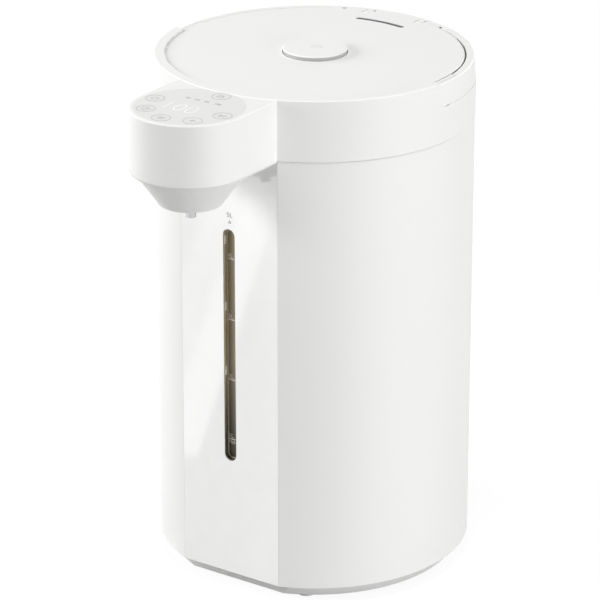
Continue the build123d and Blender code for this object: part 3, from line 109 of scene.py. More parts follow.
# Lathe polish leaves bright rings round the upright axis, about 0.1 mm apart; drawn at 0.5 mm to show.
polished_steel = new_finish("stainless_steel_lathe_polished", Metallic=1.0)
grain(polished_steel, 0.5 * mm, ("#B9BBBD", "#CBCCCD"), (0.16, 0.26), 0.002 * mm, stretch=(60, 60, 1))
dress(polished_steel, "lid_liner", "spout_nozzle")

# Blasting leaves an even matt grey that scatters light; its dents of about 0.05 mm are drawn at 0.4 mm.
blasted_steel = new_finish("stainless_steel_bead_blasted", Metallic=0.5)
grain(blasted_steel, 0.4 * mm, ("#B4B6B8", "#C2C3C4"), (0.42, 0.52), 0.004 * mm)
dress(blasted_steel, "inner_pot")


# Heater plate and the insulation round the pot.
# The plate is a gravity casting with a matt, slightly pitted skin; the wrap is needled glass felt.
# The plate is clamped under the pot's floor, and the felt is wound once round the pot's wall.
# Casting leaves soft dents of about 1 mm, so it has no clear reflections.
cast_aluminium = new_finish("cast_aluminium_sand_matt", Metallic=1.0)
grain(cast_aluminium, 0.9 * mm, ("#A4A6A8", "#BDBFC1"), (0.45, 0.62), 0.03 * mm)
dress(cast_aluminium, "heater_plate")

# Felt shows pale fibres lying in the sheet, about 0.4 mm apart, with a soft sheen.
glass_felt = new_finish("needled_glass_felt", IOR=1.5, Sheen_Weight=0.3)
grain(glass_felt, 0.4 * mm, ("#B7B2A6", "#D9D5CB"), (0.85, 1.0), 0.2 * mm, stretch=(3, 3, 1))
dress(glass_felt, "insulation_wrap")


# Screws, clips, pins and springs, and the heater's sheath.
# Zinc-plated steel: turned, bent or coiled, then barrel-plated, with a bright and slightly cloudy skin.
# They are driven, pressed or hooked in place and hold the other pieces together.
# The plating's clouds of about 1 mm make its gloss uneven, with a bluish tinge.
zinc_plate = new_finish("steel_zinc_plated", Metallic=1.0)
grain(zinc_plate, 1.2 * mm, ("#AEB3B8", "#CDD0D2"), (0.25, 0.4), 0.003 * mm)
dress(
    zinc_plate,
    "base_screws",
    "collar_screws",
    "lid_screws",
    "heating_element",
    "hose_clips",
    "hinge_pins",
    "handle_pins",
    "button_spring",
    "latch_spring",
)


# Pump motor, temperature probe and the mains inlet's pins.
# The motor's can is drawn steel with a dull nickel skin; the probe and the pins are turned brass.
# The can is clipped under the pump, the probe screws into the heater plate, the pins are moulded in.
# Drawing leaves streaks along the can, about 0.6 mm apart, that stretch its reflections.
nickel_can = new_finish("drawn_steel_dull_nickel", Metallic=1.0)
grain(nickel_can, 0.6 * mm, ("#989A9B", "#AFB0B0"), (0.3, 0.42), 0.002 * mm, stretch=(1, 1, 25))
dress(nickel_can, "pump_motor")

# Turning leaves warm bright rings; the tool's feed of about 0.1 mm is drawn at 0.4 mm to show.
turned_brass = new_finish("turned_brass", Metallic=1.0)
grain(turned_brass, 0.4 * mm, ("#BE9A4E", "#D2B065"), (0.2, 0.34), 0.002 * mm, stretch=(25, 25, 1))
dress(turned_brass, "temperature_probe", "inlet_pins")


# Hoses, seals and the lid's gasket.
# Cured silicone rubber, milky and slightly dusty, so that light goes a little way in.
# The hoses are pushed on and clipped; the seals sit in grooves.
# Its edges look lighter than its body, with a soft gloss broken by dust lumps of about 2 mm.
milky_reach = 3 * mm
milky_silicone = new_finish(
    "silicone_rubber_milky",
    IOR=1.41,
    Subsurface_Weight=0.25,
    Subsurface_Radius=(milky_reach, milky_reach, milky_reach),
)
grain(milky_silicone, 2.0 * mm, ("#D4D3CF", "#E2E1DD"), (0.42, 0.58), 0.01 * mm)
dress(milky_silicone, "spout_pipe", "pot_seal", "inlet_hose", "riser_elbow", "lid_gasket")


# Pot stand, pump body, latch, vent trap, inlet body and the parts on the boards.
# Glass-filled nylon, moulded in charcoal: matt, with the pale flecks of short glass fibres.
# They are clipped or screwed to the base and the lid.
# Fibres of about 0.2 mm show as flecks along the flow; drawn at 0.5 mm so that they show.
glass_nylon = new_finish("glass_filled_nylon_charcoal", IOR=1.53)
grain(glass_nylon, 0.5 * mm, ("#2A2B2D", "#3A3B3D"), (0.42, 0.6), 0.008 * mm, stretch=(1, 3, 1))
dress(
    glass_nylon,
    "pot_stand",
    "thermostat",
    "pump_housing",
    "pump_impeller",
    "board_parts",
    "mains_inlet",
    "vent_trap",
    "latch_bolt",
)


# Power board and display board.
# Glass laminate under green solder mask: glossy, with copper tracks showing lighter through the mask.
# The boards are screwed to posts in the base and under the touch panel.
# Tracks stand up a few hundredths of a millimetre, so the gloss breaks along their edges.
solder_mask = new_finish("glass_laminate_solder_mask", IOR=1.55, Roughness=0.28, Coat_Weight=0.4)
track_pitch = 2.5 * mm
track_share = 0.12
track_run = 5.0
track_rise = 0.03 * mm
track_tree = solder_mask.node_tree
track_place = add(track_tree, "ShaderNodeTexCoord").outputs["Object"]
tracks = add(
    track_tree,
    "ShaderNodeTexBrick",
    {
        "Vector": track_place,
        "Color1": linear("#1C5B3B"),
        "Color2": linear("#206342"),
        "Mortar": linear("#2F7C55"),
        "Scale": 1 / track_pitch,
        "Mortar Size": track_share,
        "Brick Width": track_run,
        "Row Height": 1.0,
    },
)
track_relief = add(
    track_tree, "ShaderNodeBump", {"Height": tracks.outputs["Fac"], "Distance": track_rise}
)
mask_shader = track_tree.nodes["Principled BSDF"]
track_tree.links.new(tracks.outputs["Color"], mask_shader.inputs["Base Color"])
track_tree.links.new(track_relief.outputs["Normal"], mask_shader.inputs["Normal"])
dress(solder_mask, "power_board", "display_board")


# Level tube behind the window.
# Clear polycarbonate, extruded, with faint draw lines along its length.
# It stands between two silicone elbows, so that the water in it is as high as in the pot.
# The draw lines, about 0.6 mm apart, bend what is seen through it a little.
clear_tube = new_finish("polycarbonate_extruded_clear", IOR=1.585, Transmission_Weight=1.0)
grain(clear_tube, 0.6 * mm, ("#E9EFEE", "#F4F7F6"), (0.03, 0.08), 0.002 * mm, stretch=(1, 1, 50))
dress(clear_tube, "level_tube")


# Base cover, the four feet, and the nose's floor with its cone.
# Cover and floor are ABS, put on from below, with a duller, coarser skin, coloured a shade darker than the
# satin white as painted shade on these down-facing parts.
# The feet are pale grey rubber plugs pushed into bosses, dusty and quite matt.
dull_shaded_abs = new_finish("abs_dull_white_painted_shade", IOR=1.53)
# The eroded skin has pits of about 0.2 mm; drawn at 0.8 mm so that they show.
# Both colours are darker than the satin mouldings' ones: painted shade.
grain(dull_shaded_abs, 0.8 * mm, ("#DADAD9", "#E2E2E1"), (0.55, 0.68), 0.012 * mm)
dress(dull_shaded_abs, "base_cover", "spout_cover")

# Rubber takes no gloss, and dust gathers in lumps of about 0.7 mm.
foot_rubber = new_finish("rubber_moulded_pale_grey", IOR=1.52)
grain(foot_rubber, 0.7 * mm, ("#C3C3C2", "#CECECD"), (0.7, 0.85), 0.01 * mm)
dress(foot_rubber, "rubber_feet")


# Outer mouldings: the sleeve, the collar, the lid, its button and the carry handle.
# Injection-moulded ABS, white all through, from tools with a fine satin finish.
# They clip and screw together, so that only thin parting lines show between them.
satin_abs = new_finish("abs_moulded_satin_white", IOR=1.53, Specular_IOR_Level=0.2)
# Satin tools leave pits of about 0.05 mm; drawn at 0.5 mm so that they show close up.
grain(satin_abs, 0.5 * mm, ("#ECECEB", "#F0F0EF"), (0.4, 0.46), 0.0015 * mm)
dress(
    satin_abs,
    "outer_shell",
    "upper_housing",
    "lid_cover",
    "lid_base",
    "lid_button",
    "carry_handle",
)


# Front panel: the flat plate that closes the sleeve's open front.
# ABS from a polished tool, so the floor in front mirrors softly in it; very slight waviness remains.
# It slides in behind the sleeve's edges and is held by the collar and the base.
polished_abs = new_finish("abs_hard_coated_gloss_white", IOR=1.53, Coat_Weight=1.0, Coat_Roughness=0.04)
# Mould flow leaves waves of about 12 mm that are far shallower than a hair.
grain(polished_abs, 12 * mm, ("#F6F6F5", "#F8F8F7"), (0.05, 0.09), 0.0008 * mm)
dress(polished_abs, "front_panel")


# Level window: a deep tray in the panel's slot, with a pale bead of painted highlight round its floor and
# three pale pads of painted glints.
# Smoked polycarbonate; its olive brown is painted darker towards the bottom, as painted shade.
# The tray snaps in from behind; the bead lies in the corner round its floor, the pads on its left wall.
# Light goes a few millimetres in, so it looks deep and even, with a soft gloss.
smoke_reach = 3 * mm
smoked_lens = new_finish(
    "polycarbonate_smoked_satin",
    IOR=1.585,
    Roughness=0.4,
    Specular_IOR_Level=0.25,
    Subsurface_Weight=0.8,
    Subsurface_Radius=(smoke_reach, smoke_reach, smoke_reach),
)
lens_low, lens_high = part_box("window_lens")
lens_wall = 0.9 * mm
tray_floor_y = lens_high.y - lens_wall
tray_half_width = 3.95 * mm
tray_inset = 3.8 * mm
tray_bottom_z = lens_low.z + tray_inset
tray_top_z = lens_high.z - tray_inset
# The ramp paints shade: the lens goes from olive brown at 165 mm to a darker brown at 112 mm and below.
shade_start_z, shade_end_z = 112 * mm, 165 * mm
smoke_tree = smoked_lens.node_tree
smoke_place = add(smoke_tree, "ShaderNodeTexCoord").outputs["Object"]
smoke_height = add(smoke_tree, "ShaderNodeSeparateXYZ", {"Vector": smoke_place}).outputs["Z"]
smoke_shade_by_height = add(
    smoke_tree,
    "ShaderNodeMapRange",
    {"Value": smoke_height, "From Min": shade_start_z, "From Max": shade_end_z},
)
smoke_and_shade = add(smoke_tree, "ShaderNodeValToRGB", {"Fac": smoke_shade_by_height.outputs["Result"]})
for smoke_stop, smoke_and_shade_code in zip(smoke_and_shade.color_ramp.elements, ("#504A37", "#A3967A")):
    smoke_stop.color = linear(smoke_and_shade_code)
smoke_tree.links.new(
    smoke_and_shade.outputs["Color"], smoke_tree.nodes["Principled BSDF"].inputs["Base Color"]
)
dress(smoked_lens, "window_lens")


def carried(path, width, height, closed):
    """A strip: a rectangle, width across and height tall, carried along a flat path of (u, v) points.
    At each point it stands on w = 0, square to the mean of the two runs that meet there,
    and is widened by one over the cosine of half their turn, so that the strip keeps its width."""
    path = np.asarray(path, float)
    runs = np.diff(np.vstack([path, path[:1]]) if closed else path, axis=0)
    runs /= np.linalg.norm(runs, axis=1)[:, None]
    before = np.roll(runs, 1, axis=0) if closed else np.vstack([runs[:1], runs])
    after = runs if closed else np.vstack([runs, runs[-1:]])
    mean = before + after
    mean /= np.linalg.norm(mean, axis=1)[:, None]
    mitre = width / 2 / np.sum(mean * after, axis=1)[:, None]
    side = np.stack([-mean[:, 1], mean[:, 0]], axis=1) * mitre
    flat = np.stack([path + side, path - side, path - side, path + side], axis=1)
    lift = np.broadcast_to(np.array([0, 0, height, height])[None, :, None], (len(path), 4, 1))
    points = np.concatenate([flat, lift], axis=2).reshape(-1, 3)
    here = np.arange(len(runs))[:, None] * 4
    there = (np.arange(len(runs))[:, None] + 1) % len(path) * 4
    corner = np.arange(4)[None, :]
    onward = (corner + 1) % 4
    quads = np.stack([here + corner, there + corner, there + onward, here + onward], axis=2)
    faces = quads.reshape(-1, 4).tolist()
    if not closed:
        last = 4 * (len(path) - 1)
        faces += [[0, 1, 2, 3], [last + 3, last + 2, last + 1, last]]
    return points, faces


def gathered(*shapes):
    """Several shapes as one: their points in a row, each shape's faces counting on from the last."""
    starts = np.cumsum([0] + [len(points) for points, _ in shapes])
    points = np.vstack([points for points, _ in shapes])
    faces = [
        [start + at for at in face] for start, (_, own) in zip(starts, shapes) for face in own
    ]
    return points, faces


def shifted(shape, u, v):
    """The same shape, moved by (u, v) within its face."""
    points, faces = shape
    return points + np.array([u, v, 0]), faces


def laid(name, shape, place, axes, finish, body):
    """Make a piece of a shape: its u, v and w run along the three axes from the place given."""
    points, faces = shape
    mesh = bpy.data.meshes.new(name)
    mesh.from_pydata((np.asarray(place) + points @ np.array(axes, float)).tolist(), [], faces)
    mesh.materials.append(finish)
    made = bpy.data.objects.new(name, mesh)
    bpy.context.collection.objects.link(made)
    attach(made, body)


front_axes = ((1, 0, 0), (0, 0, 1), (0, -1, 0))
top_axes = ((1, 0, 0), (0, 1, 0), (0, 0, 1))
left_wall_axes = ((0, 1, 0), (0, 0, 1), (1, 0, 0))

# Pale, smooth and shiny, with slow swells of about 1.5 mm: a painted highlight along the tray's inner
# corner, and painted glints on its left wall.
highlight_bead_finish = new_finish("painted_highlight_pale_grey", IOR=1.41)
grain(highlight_bead_finish, 1.5 * mm, ("#D0CABC", "#DED8CA"), (0.2, 0.35), 0.005 * mm)
bead_width = 0.7 * mm
bead_steps = 24
bead_radius = tray_half_width - bead_width / 2
bead_turn = np.linspace(0, math.pi, bead_steps)
bead_arch = bead_radius * np.stack([np.cos(bead_turn), np.sin(bead_turn)], axis=1)
bead_path = np.vstack(
    [
        bead_arch + [0, tray_top_z - tray_half_width],
        -bead_arch + [0, tray_bottom_z + tray_half_width],
    ]
)
laid(
    "window_bead_painted_highlight",
    carried(bead_path, bead_width, bead_width, closed=True),
    (0, tray_floor_y, 0),
    front_axes,
    highlight_bead_finish,
    "housing",
)
# Three pale pads on the tray's left wall: painted glints.
pad_depth = 2.4 * mm
pad_height = 6.0 * mm
pad_thickness = 0.2 * mm
pad_heights = (252.5 * mm, 205.5 * mm, 159.5 * mm)
pads = [
    carried([(0, at - pad_height / 2), (0, at + pad_height / 2)], pad_depth, pad_thickness, closed=False)
    for at in pad_heights
]
laid(
    "window_pads_painted_glints",
    gathered(*pads),
    (-tray_half_width, tray_floor_y - bead_width - pad_depth / 2, 0),
    left_wall_axes,
    highlight_bead_finish,
    "housing",
)


# Joint fins: two narrow strips in the joints between the panel's rounded edges and the sleeve's.
# The same satin ABS as the sleeve, moulded on its edges, so that no dark line shows.
# Each reaches from the sleeve's edge over the panel's rounding, and ends just below the panel's face.
panel_low, panel_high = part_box("front_panel")
joint_gap = 0.1 * mm
fin_width = 0.5 * mm
fin_top, fin_foot = 0.04 * mm, 0.5 * mm
fin_x = panel_high.x + joint_gap - fin_width / 2
fins = [
    carried([(at, panel_low.z), (at, panel_high.z)], fin_width, fin_foot - fin_top, closed=False)
    for at in (-fin_x, fin_x)
]
laid(
    "joint_fins",
    gathered(*fins),
    (0, panel_low.y + fin_foot, 0),
    front_axes,
    satin_abs,
    "housing",
)


# Litre marks in the window, and the full mark above it.
# Screen-printed ink, about a tenth of a millimetre thick, with slightly soft and uneven edges.
# The marks are printed on the tray's floor in warm ivory, the full mark on the panel in grey.
def lettering(words, height, thickness, thinner=0.0):
    """The words as solid letters: the built-in typeface, its strokes made thinner by a share of its size,
    filled and raised by thickness, and scaled to stand height tall on v = 0, centred on u = 0."""
    curve = bpy.data.curves.new(words, "FONT")
    curve.body = words
    curve.offset = -thinner
    curve.extrude = 1.0
    curve.resolution_u = 4
    holder = bpy.data.objects.new(words, curve)
    solid = bpy.data.meshes.new_from_object(holder)
    points = np.empty(len(solid.vertices) * 3)
    solid.vertices.foreach_get("co", points)
    points = points.reshape(-1, 3)
    low, high = points.min(axis=0), points.max(axis=0)
    zoom = height / (high[1] - low[1])
    middle = (low[0] + high[0]) / 2
    placed = np.stack(
        [
            (points[:, 0] - middle) * zoom,
            (points[:, 1] - low[1]) * zoom,
            np.where(points[:, 2] > 0, thickness, 0.0),
        ],
        axis=1,
    )
    faces = [list(face.vertices) for face in solid.polygons]
    bpy.data.objects.remove(holder)
    bpy.data.curves.remove(curve)
    bpy.data.meshes.remove(solid)
    return placed, faces


ivory_ink = new_finish("screen_ink_ivory", IOR=1.5)
# Ink takes up the mesh of the screen, about 0.15 mm; drawn at 0.4 mm.
grain(ivory_ink, 0.4 * mm, ("#F0E7D8", "#F8F0E2"), (0.5, 0.65), 0.004 * mm)
ink_thickness = 0.12 * mm
litre_first_z = 109.4 * mm
litre_pitch = 43.2 * mm
litre_line = 0.9 * mm
litre_left, litre_right = -3.4 * mm, 3.3 * mm
litre_label = 2.9 * mm
litre_label_u = -1.3 * mm
litre_label_gap = 1.0 * mm
minimum_label = 2.6 * mm
minimum_label_u = -0.4 * mm
marks = []
for litre in (1, 2, 3, 4):
    mark_z = litre_first_z + (litre - 1) * litre_pitch
    marks.append(
        carried([(litre_left, mark_z), (litre_right, mark_z)], litre_line, ink_thickness, closed=False)
    )
    label = lettering(f"{litre}L", litre_label, ink_thickness)
    marks.append(shifted(label, litre_label_u, mark_z + litre_label_gap))
minimum = lettering("MIN", minimum_label, ink_thickness)
marks.append(shifted(minimum, minimum_label_u, litre_first_z - litre_label_gap - minimum_label))
laid(
    "litre_marks",
    gathered(*marks),
    (0, tray_floor_y, 0),
    front_axes,
    ivory_ink,
    "housing",
)

grey_ink = new_finish("screen_ink_grey", IOR=1.5)
grain(grey_ink, 0.4 * mm, ("#B0B0AF", "#BEBEBD"), (0.5, 0.65), 0.004 * mm)
full_label = 3.3 * mm
full_label_u = 0.8 * mm
full_label_z = 269.4 * mm
full_arrow_z = 266.0 * mm
full_arrow_side = 1.8 * mm
full_arrow_line = full_arrow_side / 4
arrow_turn = math.radians(90) + np.arange(3) * math.radians(120)
full_arrow = full_arrow_side / math.sqrt(3) * np.stack([np.cos(arrow_turn), np.sin(arrow_turn)], axis=1)
laid(
    "full_mark",
    gathered(
        shifted(lettering("5L", full_label, ink_thickness), full_label_u, full_label_z),
        shifted(
            carried(full_arrow, full_arrow_line, ink_thickness, closed=True), full_label_u, full_arrow_z
        ),
    ),
    (0, panel_low.y, 0),
    front_axes,
    grey_ink,
    "housing",
)


# Touch panel: the round sheet on the nose, with a ring for each key and the water's temperature between.
# Hard-coated polycarbonate film on a white carrier, so it is a shade greyer and smoother than the ABS.
# It is glued into its seat; the rings and signs are printed in pale grey, the digits glow white.
coated_film = new_finish("polycarbonate_film_hard_coated", IOR=1.585)
grain(coated_film, 0.6 * mm, ("#DFDFDE", "#E2E2E1"), (0.3, 0.36), 0.001 * mm)
dress(coated_film, "touch_panel")
touch_low, touch_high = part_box("touch_panel")
touch_place = ((touch_low.x + touch_high.x) / 2, (touch_low.y + touch_high.y) / 2, touch_high.z)
key_circle = 28.0 * mm
key_radius = 6.1 * mm
key_line = 0.45 * mm
key_angles = (-6, -50, -94, -138, 178, 80)
sign_line = 0.5 * mm
circle_steps = 48
sign_steps = 24
bow_steps = 16


def arc(radius, start, end, steps):
    """Points on a circle of this radius, from the start angle to the end angle in degrees."""
    turn = np.radians(np.linspace(start, end, steps))
    return radius * np.stack([np.cos(turn), np.sin(turn)], axis=1)


def ring(radius, width):
    """A whole circle drawn as a strip of this width."""
    path = arc(radius, 0, 360, circle_steps + 1)[:-1]
    return carried(path, width, ink_thickness, closed=True)


def stroke(points, closed=False):
    """A line of a key's sign through these points, given in millimetres."""
    return carried(np.array(points, float) * mm, sign_line, ink_thickness, closed)


power_sign = [
    carried(arc(2.4 * mm, 130, 410, sign_steps), sign_line, ink_thickness, closed=False),
    stroke([(0, 0.9), (0, 3.2)]),
]
timer_sign = [ring(2.6 * mm, sign_line), stroke([(0, 1.6), (0, 0), (1.2, 0)])]
heat_sign = [
    stroke([(at - 0.5, -2.2), (at + 0.5, -0.7), (at - 0.5, 0.7), (at + 0.5, 2.2)]) for at in (-1.6, 0, 1.6)
]
plus_sign = [stroke([(-2.4, 0), (2.4, 0)]), stroke([(0, -2.4), (0, 2.4)])]
lock_sign = [
    stroke([(-2, -2.2), (2, -2.2), (2, 0.4), (-2, 0.4)], closed=True),
    carried(arc(1.3 * mm, 0, 180, bow_steps) + [0, 0.5 * mm], sign_line, ink_thickness, closed=False),
]
cup_sign = [
    stroke([(-2.2, 2), (-1.6, -2.2), (1.6, -2.2), (2.2, 2)]),
    stroke([(-1.9, 0.2), (1.9, 0.2)]),
]
key_signs = (cup_sign, plus_sign, heat_sign, timer_sign, power_sign, lock_sign)
keys = []
for angle, sign in zip(key_angles, key_signs):
    along = math.radians(angle)
    key = gathered(ring(key_radius, key_line), *sign)
    keys.append(shifted(key, key_circle * math.cos(along), key_circle * math.sin(along)))
# Screen ink dries matt with a faint weave; drawn at 0.4 mm, as the other inks are.
pale_ink = new_finish("screen_ink_pale_grey", IOR=1.5)
grain(pale_ink, 0.4 * mm, ("#B6B6B5", "#C0C0BF"), (0.45, 0.6), 0.004 * mm)
preset_height = 2.6 * mm
preset_v = 12.4 * mm
presets = [
    shifted(lettering(words, preset_height, ink_thickness), along * mm, preset_v)
    for words, along in (("45", -11.4), ("60", -4.0), ("85", 3.6), ("100", 12.2))
]
laid(
    "touch_keys", gathered(*keys, *presets), touch_place, top_axes, pale_ink, "housing"
)

# Lamps under the film make the digits a little brighter than white print.
digit_glow = 0.06
lit_print = new_finish(
    "screen_ink_lit_white", IOR=1.5, Emission_Color=linear("#FFFFFF"), Emission_Strength=digit_glow
)
grain(lit_print, 0.4 * mm, ("#F4F4F3", "#FAFAF9"), (0.4, 0.5), 0.004 * mm)
digit_height = 12.0 * mm
digit_u = -2.5 * mm
digit_v = -10.8 * mm
digit_thinner = 0.03
laid(
    "touch_digits",
    shifted(lettering("100", digit_height, ink_thickness, digit_thinner), digit_u, digit_v),
    touch_place,
    top_axes,
    lit_print,
    "housing",
)


# Sign on the lid's button: an arched lid over a short line.
# Printed in the same pale grey ink as the touch panel's rings, almost flush with the top.
# It moves with the button.
button_low, button_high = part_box("lid_button")
sign_depth = 0.1 * mm
button_x = (button_low.x + button_high.x) / 2
button_y = (button_low.y + button_high.y) / 2
lid_sign = gathered(
    carried(arc(4.2 * mm, 25, 155, sign_steps), sign_line, ink_thickness, closed=False),
    stroke([(-4.2, 0), (4.2, 0)]),
)
button_place = (button_x, button_y, button_high.z - sign_depth)
laid("button_sign", lid_sign, button_place, top_axes, pale_ink, "button")


# Grey band round the lid's button: painted shade on the button's side wall, between its top and the lid.
# A thin hoop in satin ABS coloured mid grey.
# It sits on the button's side, and moves with it in the gap of the well.
# Its satin skin is the white mouldings' one in grey, for painted shade; pits drawn at 0.5 mm.
shade_grey_abs = new_finish("abs_satin_grey_painted_shade", IOR=1.53)
grain(shade_grey_abs, 0.5 * mm, ("#B2B2B1", "#BCBCBB"), (0.32, 0.4), 0.002 * mm)
band_radius = (button_high.x - button_low.x) / 2
band_thickness = 0.2 * mm
band_below_top = 0.9 * mm
band_height = 5.0 * mm
band_path = arc(band_radius, 0, 360, 2 * circle_steps + 1)[:-1]
laid(
    "button_shade_band",
    carried(band_path, band_thickness, band_height, closed=True),
    (button_x, button_y, button_high.z - band_below_top - band_height),
    top_axes,
    shade_grey_abs,
    "button",
)


# Steam grille: the dark strip that fills the slot in the lid.
# Moulded in the charcoal nylon of the vent trap, and pressed up into the slot from below.
# It is an arc of the slot's own width, set just below the lid's top.
lid_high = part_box("lid_cover")[1]
trap_top_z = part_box("vent_trap")[1].z
grille_radius = 80.0 * mm
grille_half_angle = 13.6
grille_width = 3.9 * mm
grille_depth = 0.35 * mm
grille_steps = 40
grille_arc = arc(grille_radius, 90 - grille_half_angle, 90 + grille_half_angle, grille_steps)
grille_height = lid_high.z - grille_depth - trap_top_z
laid(
    "steam_grille",
    carried(grille_arc, grille_width, grille_height, closed=False),
    (0, 0, trap_top_z),
    top_axes,
    glass_nylon,
    "lid",
)


# Lip round the lid and caps behind its hinges: narrow strips that close the joint round the lid.
# The same satin ABS as the mouldings, so that only faint lines show where the joint would be dark.
# The lip is moulded on the lid's edge, with gaps for the hinge arms; the caps are on these arms.
lip_height = 0.5 * mm
lip_below_top = 0.4 * mm
lip_width, heel_width = 0.6 * mm, 2.7 * mm
lip_steps = 48
lips = [
    carried(arc(lid_high.x + width / 2, start, end, lip_steps), width, lip_height, closed=False)
    for start, end, width in (
        (52, 68, lip_width),
        (68, 76.1, heel_width),
        (79.9, 100.1, heel_width),
        (103.9, 112, heel_width),
        (112, 250, lip_width),
    )
]
laid(
    "lid_lip",
    gathered(*lips),
    (0, 0, lid_high.z - lip_below_top - lip_height),
    top_axes,
    satin_abs,
    "lid",
)
cap_x = 21.0 * mm
cap_start_y, cap_end_y = 94.0 * mm, 101.5 * mm
cap_width = 5.0 * mm
cap_height = 0.4 * mm
cap_below_top = 0.2 * mm
caps = [
    carried([(at, cap_start_y), (at, cap_end_y)], cap_width, cap_height, closed=False)
    for at in (-cap_x, cap_x)
]
laid(
    "hinge_caps",
    gathered(*caps),
    (0, 0, lid_high.z - cap_below_top - cap_height),
    top_axes,
    satin_abs,
    "housing",
)


# Joints of the carry handle: a ledge under it, and a toe and an upright grey strip at each of its ends.
# The ledge and the toes are the collar's satin ABS; the strips, in the grey of the button's band, are
# painted shade in the end gaps.
# They stand on the collar in the handle's running gap, and stay there when it is lifted.
handle_low_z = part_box("carry_handle")[0].z
ledge_width = 0.25 * mm
ledge_height = 0.5 * mm
ledge_gap = 0.15 * mm
ledge_radius = 107.1 * mm
ledge_end = 1.5
ledge_arc = arc(ledge_radius, -ledge_end, 180 + ledge_end, 4 * lip_steps)
laid(
    "handle_ledge",
    carried(ledge_arc, ledge_width, ledge_height, closed=False),
    (0, 0, handle_low_z - ledge_gap),
    top_axes,
    satin_abs,
    "housing",
)
pivot_y, pivot_z = -3.0 * mm, 353.5 * mm
toe_radius = 13.75 * mm
toe_start, toe_end = 232, 269
toe_width = 0.4 * mm
toe_depth = 1.2 * mm
toe_path = arc(toe_radius, toe_start, toe_end, lip_steps) + [pivot_y, pivot_z]
# The grey strips at the handle's ends paint the shade line of their gaps.
end_shade_y = -11.55 * mm
end_shade_low_z, end_shade_high_z = 344.5 * mm, 355.6 * mm
end_shade_width = 0.3 * mm
end_shade_depth = 1.0 * mm
end_shade_path = np.array([(end_shade_y, end_shade_low_z), (end_shade_y, end_shade_high_z)])
channel_x = 105.3 * mm
for side, across in (("right", 1), ("left", -1)):
    side_axes = ((0, across, 0), (0, 0, 1), (across, 0, 0))
    side_place = (across * channel_x, 0, 0)
    toe = carried(toe_path * [across, 1], toe_width, toe_depth, closed=False)
    laid(f"handle_toe_{side}", toe, side_place, side_axes, satin_abs, "housing")
    end_shade_strip = carried(end_shade_path * [across, 1], end_shade_width, end_shade_depth, closed=False)
    laid(f"handle_end_shade_{side}", end_shade_strip, side_place, side_axes, shade_grey_abs, "housing")


# Floor of the studio: a wide pale sheet that stays white to the camera and keeps a faint shadow.
# Matt paper. What the camera, a gloss or clear plastic sees of it glows a little, so that it is white.
# It lies under the feet and isn't part of the object.
floor_half = 6.0
floor_mesh = bpy.data.meshes.new("studio_floor")
floor_corners = floor_half * np.array([(-1, -1, 0), (1, -1, 0), (1, 1, 0), (-1, 1, 0)])
floor_mesh.from_pydata(floor_corners.tolist(), [], [(0, 1, 2, 3)])
floor = bpy.data.objects.new("studio_floor", floor_mesh)
bpy.context.collection.objects.link(floor)
paper = bpy.data.materials.new("studio_paper_matt_white")
paper.use_nodes = True
paper_tree = paper.node_tree
paper_tree.nodes.clear()


def seen_directly(tree):
    """One for rays from the camera, a gloss or clear plastic; nought for the light that falls on things."""
    rays = add(tree, "ShaderNodeLightPath").outputs
    some = add(
        tree, "ShaderNodeMath", {0: rays["Is Camera Ray"], 1: rays["Is Glossy Ray"]}, operation="ADD"
    )
    every = add(
        tree,
        "ShaderNodeMath",
        {0: some.outputs[0], 1: rays["Is Transmission Ray"]},
        operation="ADD",
        use_clamp=True,
    )
    return every.outputs[0]


paper_plain = add(paper_tree, "ShaderNodeBsdfDiffuse", {"Color": linear("#B2B2B2")})
paper_shade = add(paper_tree, "ShaderNodeBsdfDiffuse", {"Color": linear("#5C5C5C")})
glow_strength = 0.92
paper_glow = add(
    paper_tree, "ShaderNodeEmission", {"Color": linear("#FFFFFF"), "Strength": glow_strength}
)
paper_seen = add(
    paper_tree, "ShaderNodeAddShader", {0: paper_shade.outputs[0], 1: paper_glow.outputs[0]}
)
paper_mix = add(
    paper_tree,
    "ShaderNodeMixShader",
    {0: seen_directly(paper_tree), 1: paper_plain.outputs[0], 2: paper_seen.outputs[0]},
)
add(paper_tree, "ShaderNodeOutputMaterial", {"Surface": paper_mix.outputs[0]})
floor_mesh.materials.append(paper)


# Light of the studio: an even dim room, a softbox on each side, one overhead and a weak one behind.
# The side boxes stand off the camera's line, so the faces turned to the camera are the darkest.
# Low light sheets left of the front lie flat and mirror in the polished panel as a slanting edge.
world = bpy.data.worlds.new("studio_room")
bpy.context.scene.world = world
world.use_nodes = True
room_tree = world.node_tree
room_tree.nodes.clear()
dim_strength, white_strength = 0.1, 1.0
room_dim = add(
    room_tree, "ShaderNodeBackground", {"Color": linear("#FFFFFF"), "Strength": dim_strength}
)
room_white = add(
    room_tree, "ShaderNodeBackground", {"Color": linear("#FFFFFF"), "Strength": white_strength}
)
room_mix = add(
    room_tree,
    "ShaderNodeMixShader",
    {0: seen_directly(room_tree), 1: room_dim.outputs[0], 2: room_white.outputs[0]},
)
add(room_tree, "ShaderNodeOutputWorld", {"Surface": room_mix.outputs[0]})


def softbox(name, place, towards, along, width, depth, power, gloss_only=False):
    """An oblong area lamp at a place: it shines towards a direction, and its width lies along another.
    One that is for gloss alone shows in reflections and lights nothing."""
    lamp = bpy.data.lights.new(name, "AREA")
    lamp.shape = "RECTANGLE"
    lamp.size = width
    lamp.size_y = depth
    lamp.energy = power
    back = -Vector(towards).normalized()
    up = back.cross(Vector(along)).normalized()
    holder = bpy.data.objects.new(name, lamp)
    holder.location = place
    holder.rotation_euler = Matrix((up.cross(back), up, back)).transposed().to_euler()
    holder.visible_camera = False
    holder.visible_diffuse = not gloss_only
    bpy.context.collection.objects.link(holder)


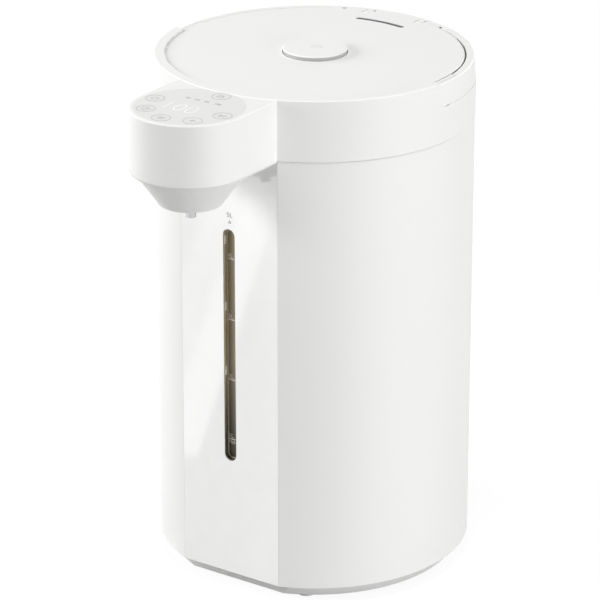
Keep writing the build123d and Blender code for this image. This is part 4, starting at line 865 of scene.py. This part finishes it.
box_distance = 2.5
box_aim = Vector((0, 0, 0.2))
box_height = 0.8
for name, azimuth, elevation, width, power in (
    ("softbox_right", 81, 6, 0.8, 42),
    ("softbox_left", -58, 18, 1.5, 54),
    ("softbox_top", 35, 80, 0.8, 35),
    ("softbox_back", 180, 12, 0.8, 12),
):
    turn, rise = math.radians(azimuth), math.radians(elevation)
    away = Vector((math.sin(turn) * math.cos(rise), -math.cos(turn) * math.cos(rise), math.sin(rise)))
    level = Vector((math.cos(turn), math.sin(turn), 0))
    softbox(name, box_aim + away * box_distance, -away, level, width, box_height, power)
sheet_up = (0, 0, 1)
sheet_z = 4 * mm
edge_z = 8 * mm
mirror_run = Vector((-0.569, -0.822, 0))
mirror_near = Vector((0.0, -0.1, sheet_z))
mirror_length, mirror_width = 0.76, 0.16
mirror_power = 0.3
mirror_centre = mirror_near + mirror_run * mirror_length / 2
softbox(
    "sheet_whole",
    mirror_centre,
    sheet_up,
    mirror_run,
    mirror_length,
    mirror_width,
    mirror_power,
    gloss_only=True,
)
edge_run = Vector((-0.48, -0.877, 0))
edge_side = Vector((-0.877, 0.48, 0))
edge_middle = Vector((-0.284, -0.5176, edge_z))
edge_length = 0.62
for name, width, rise, power in (
    ("sheet_edge", 0.03, 0, 0.036),
    ("sheet_fade", 0.06, 4 * mm, 0.065),
):
    edge_centre = edge_middle + edge_side * width / 2 + Vector((0, 0, rise))
    softbox(name, edge_centre, sheet_up, edge_run, edge_length, width, power, gloss_only=True)


# Camera: where the photograph was taken from, found from the outlines of the rim, seam and edges.
# A long lens, with no shift and no roll, its sensor fitted to the picture's width.
# It looks down at the front from the right.
camera_place = Vector((1.2637, -1.8449, 1.0756))
camera_back = Vector((0.5279, -0.7633, 0.3724))
lens = bpy.data.cameras.new("camera")
lens.lens = 211.4
lens.sensor_width = 36.0
lens.sensor_fit = "HORIZONTAL"
camera = bpy.data.objects.new("camera", lens)
camera.location = camera_place
camera.rotation_euler = camera_back.to_track_quat("Z", "Y").to_euler()
bpy.context.collection.objects.link(camera)
bpy.context.scene.camera = camera
bpy.context.scene.view_settings.view_transform = "Standard"
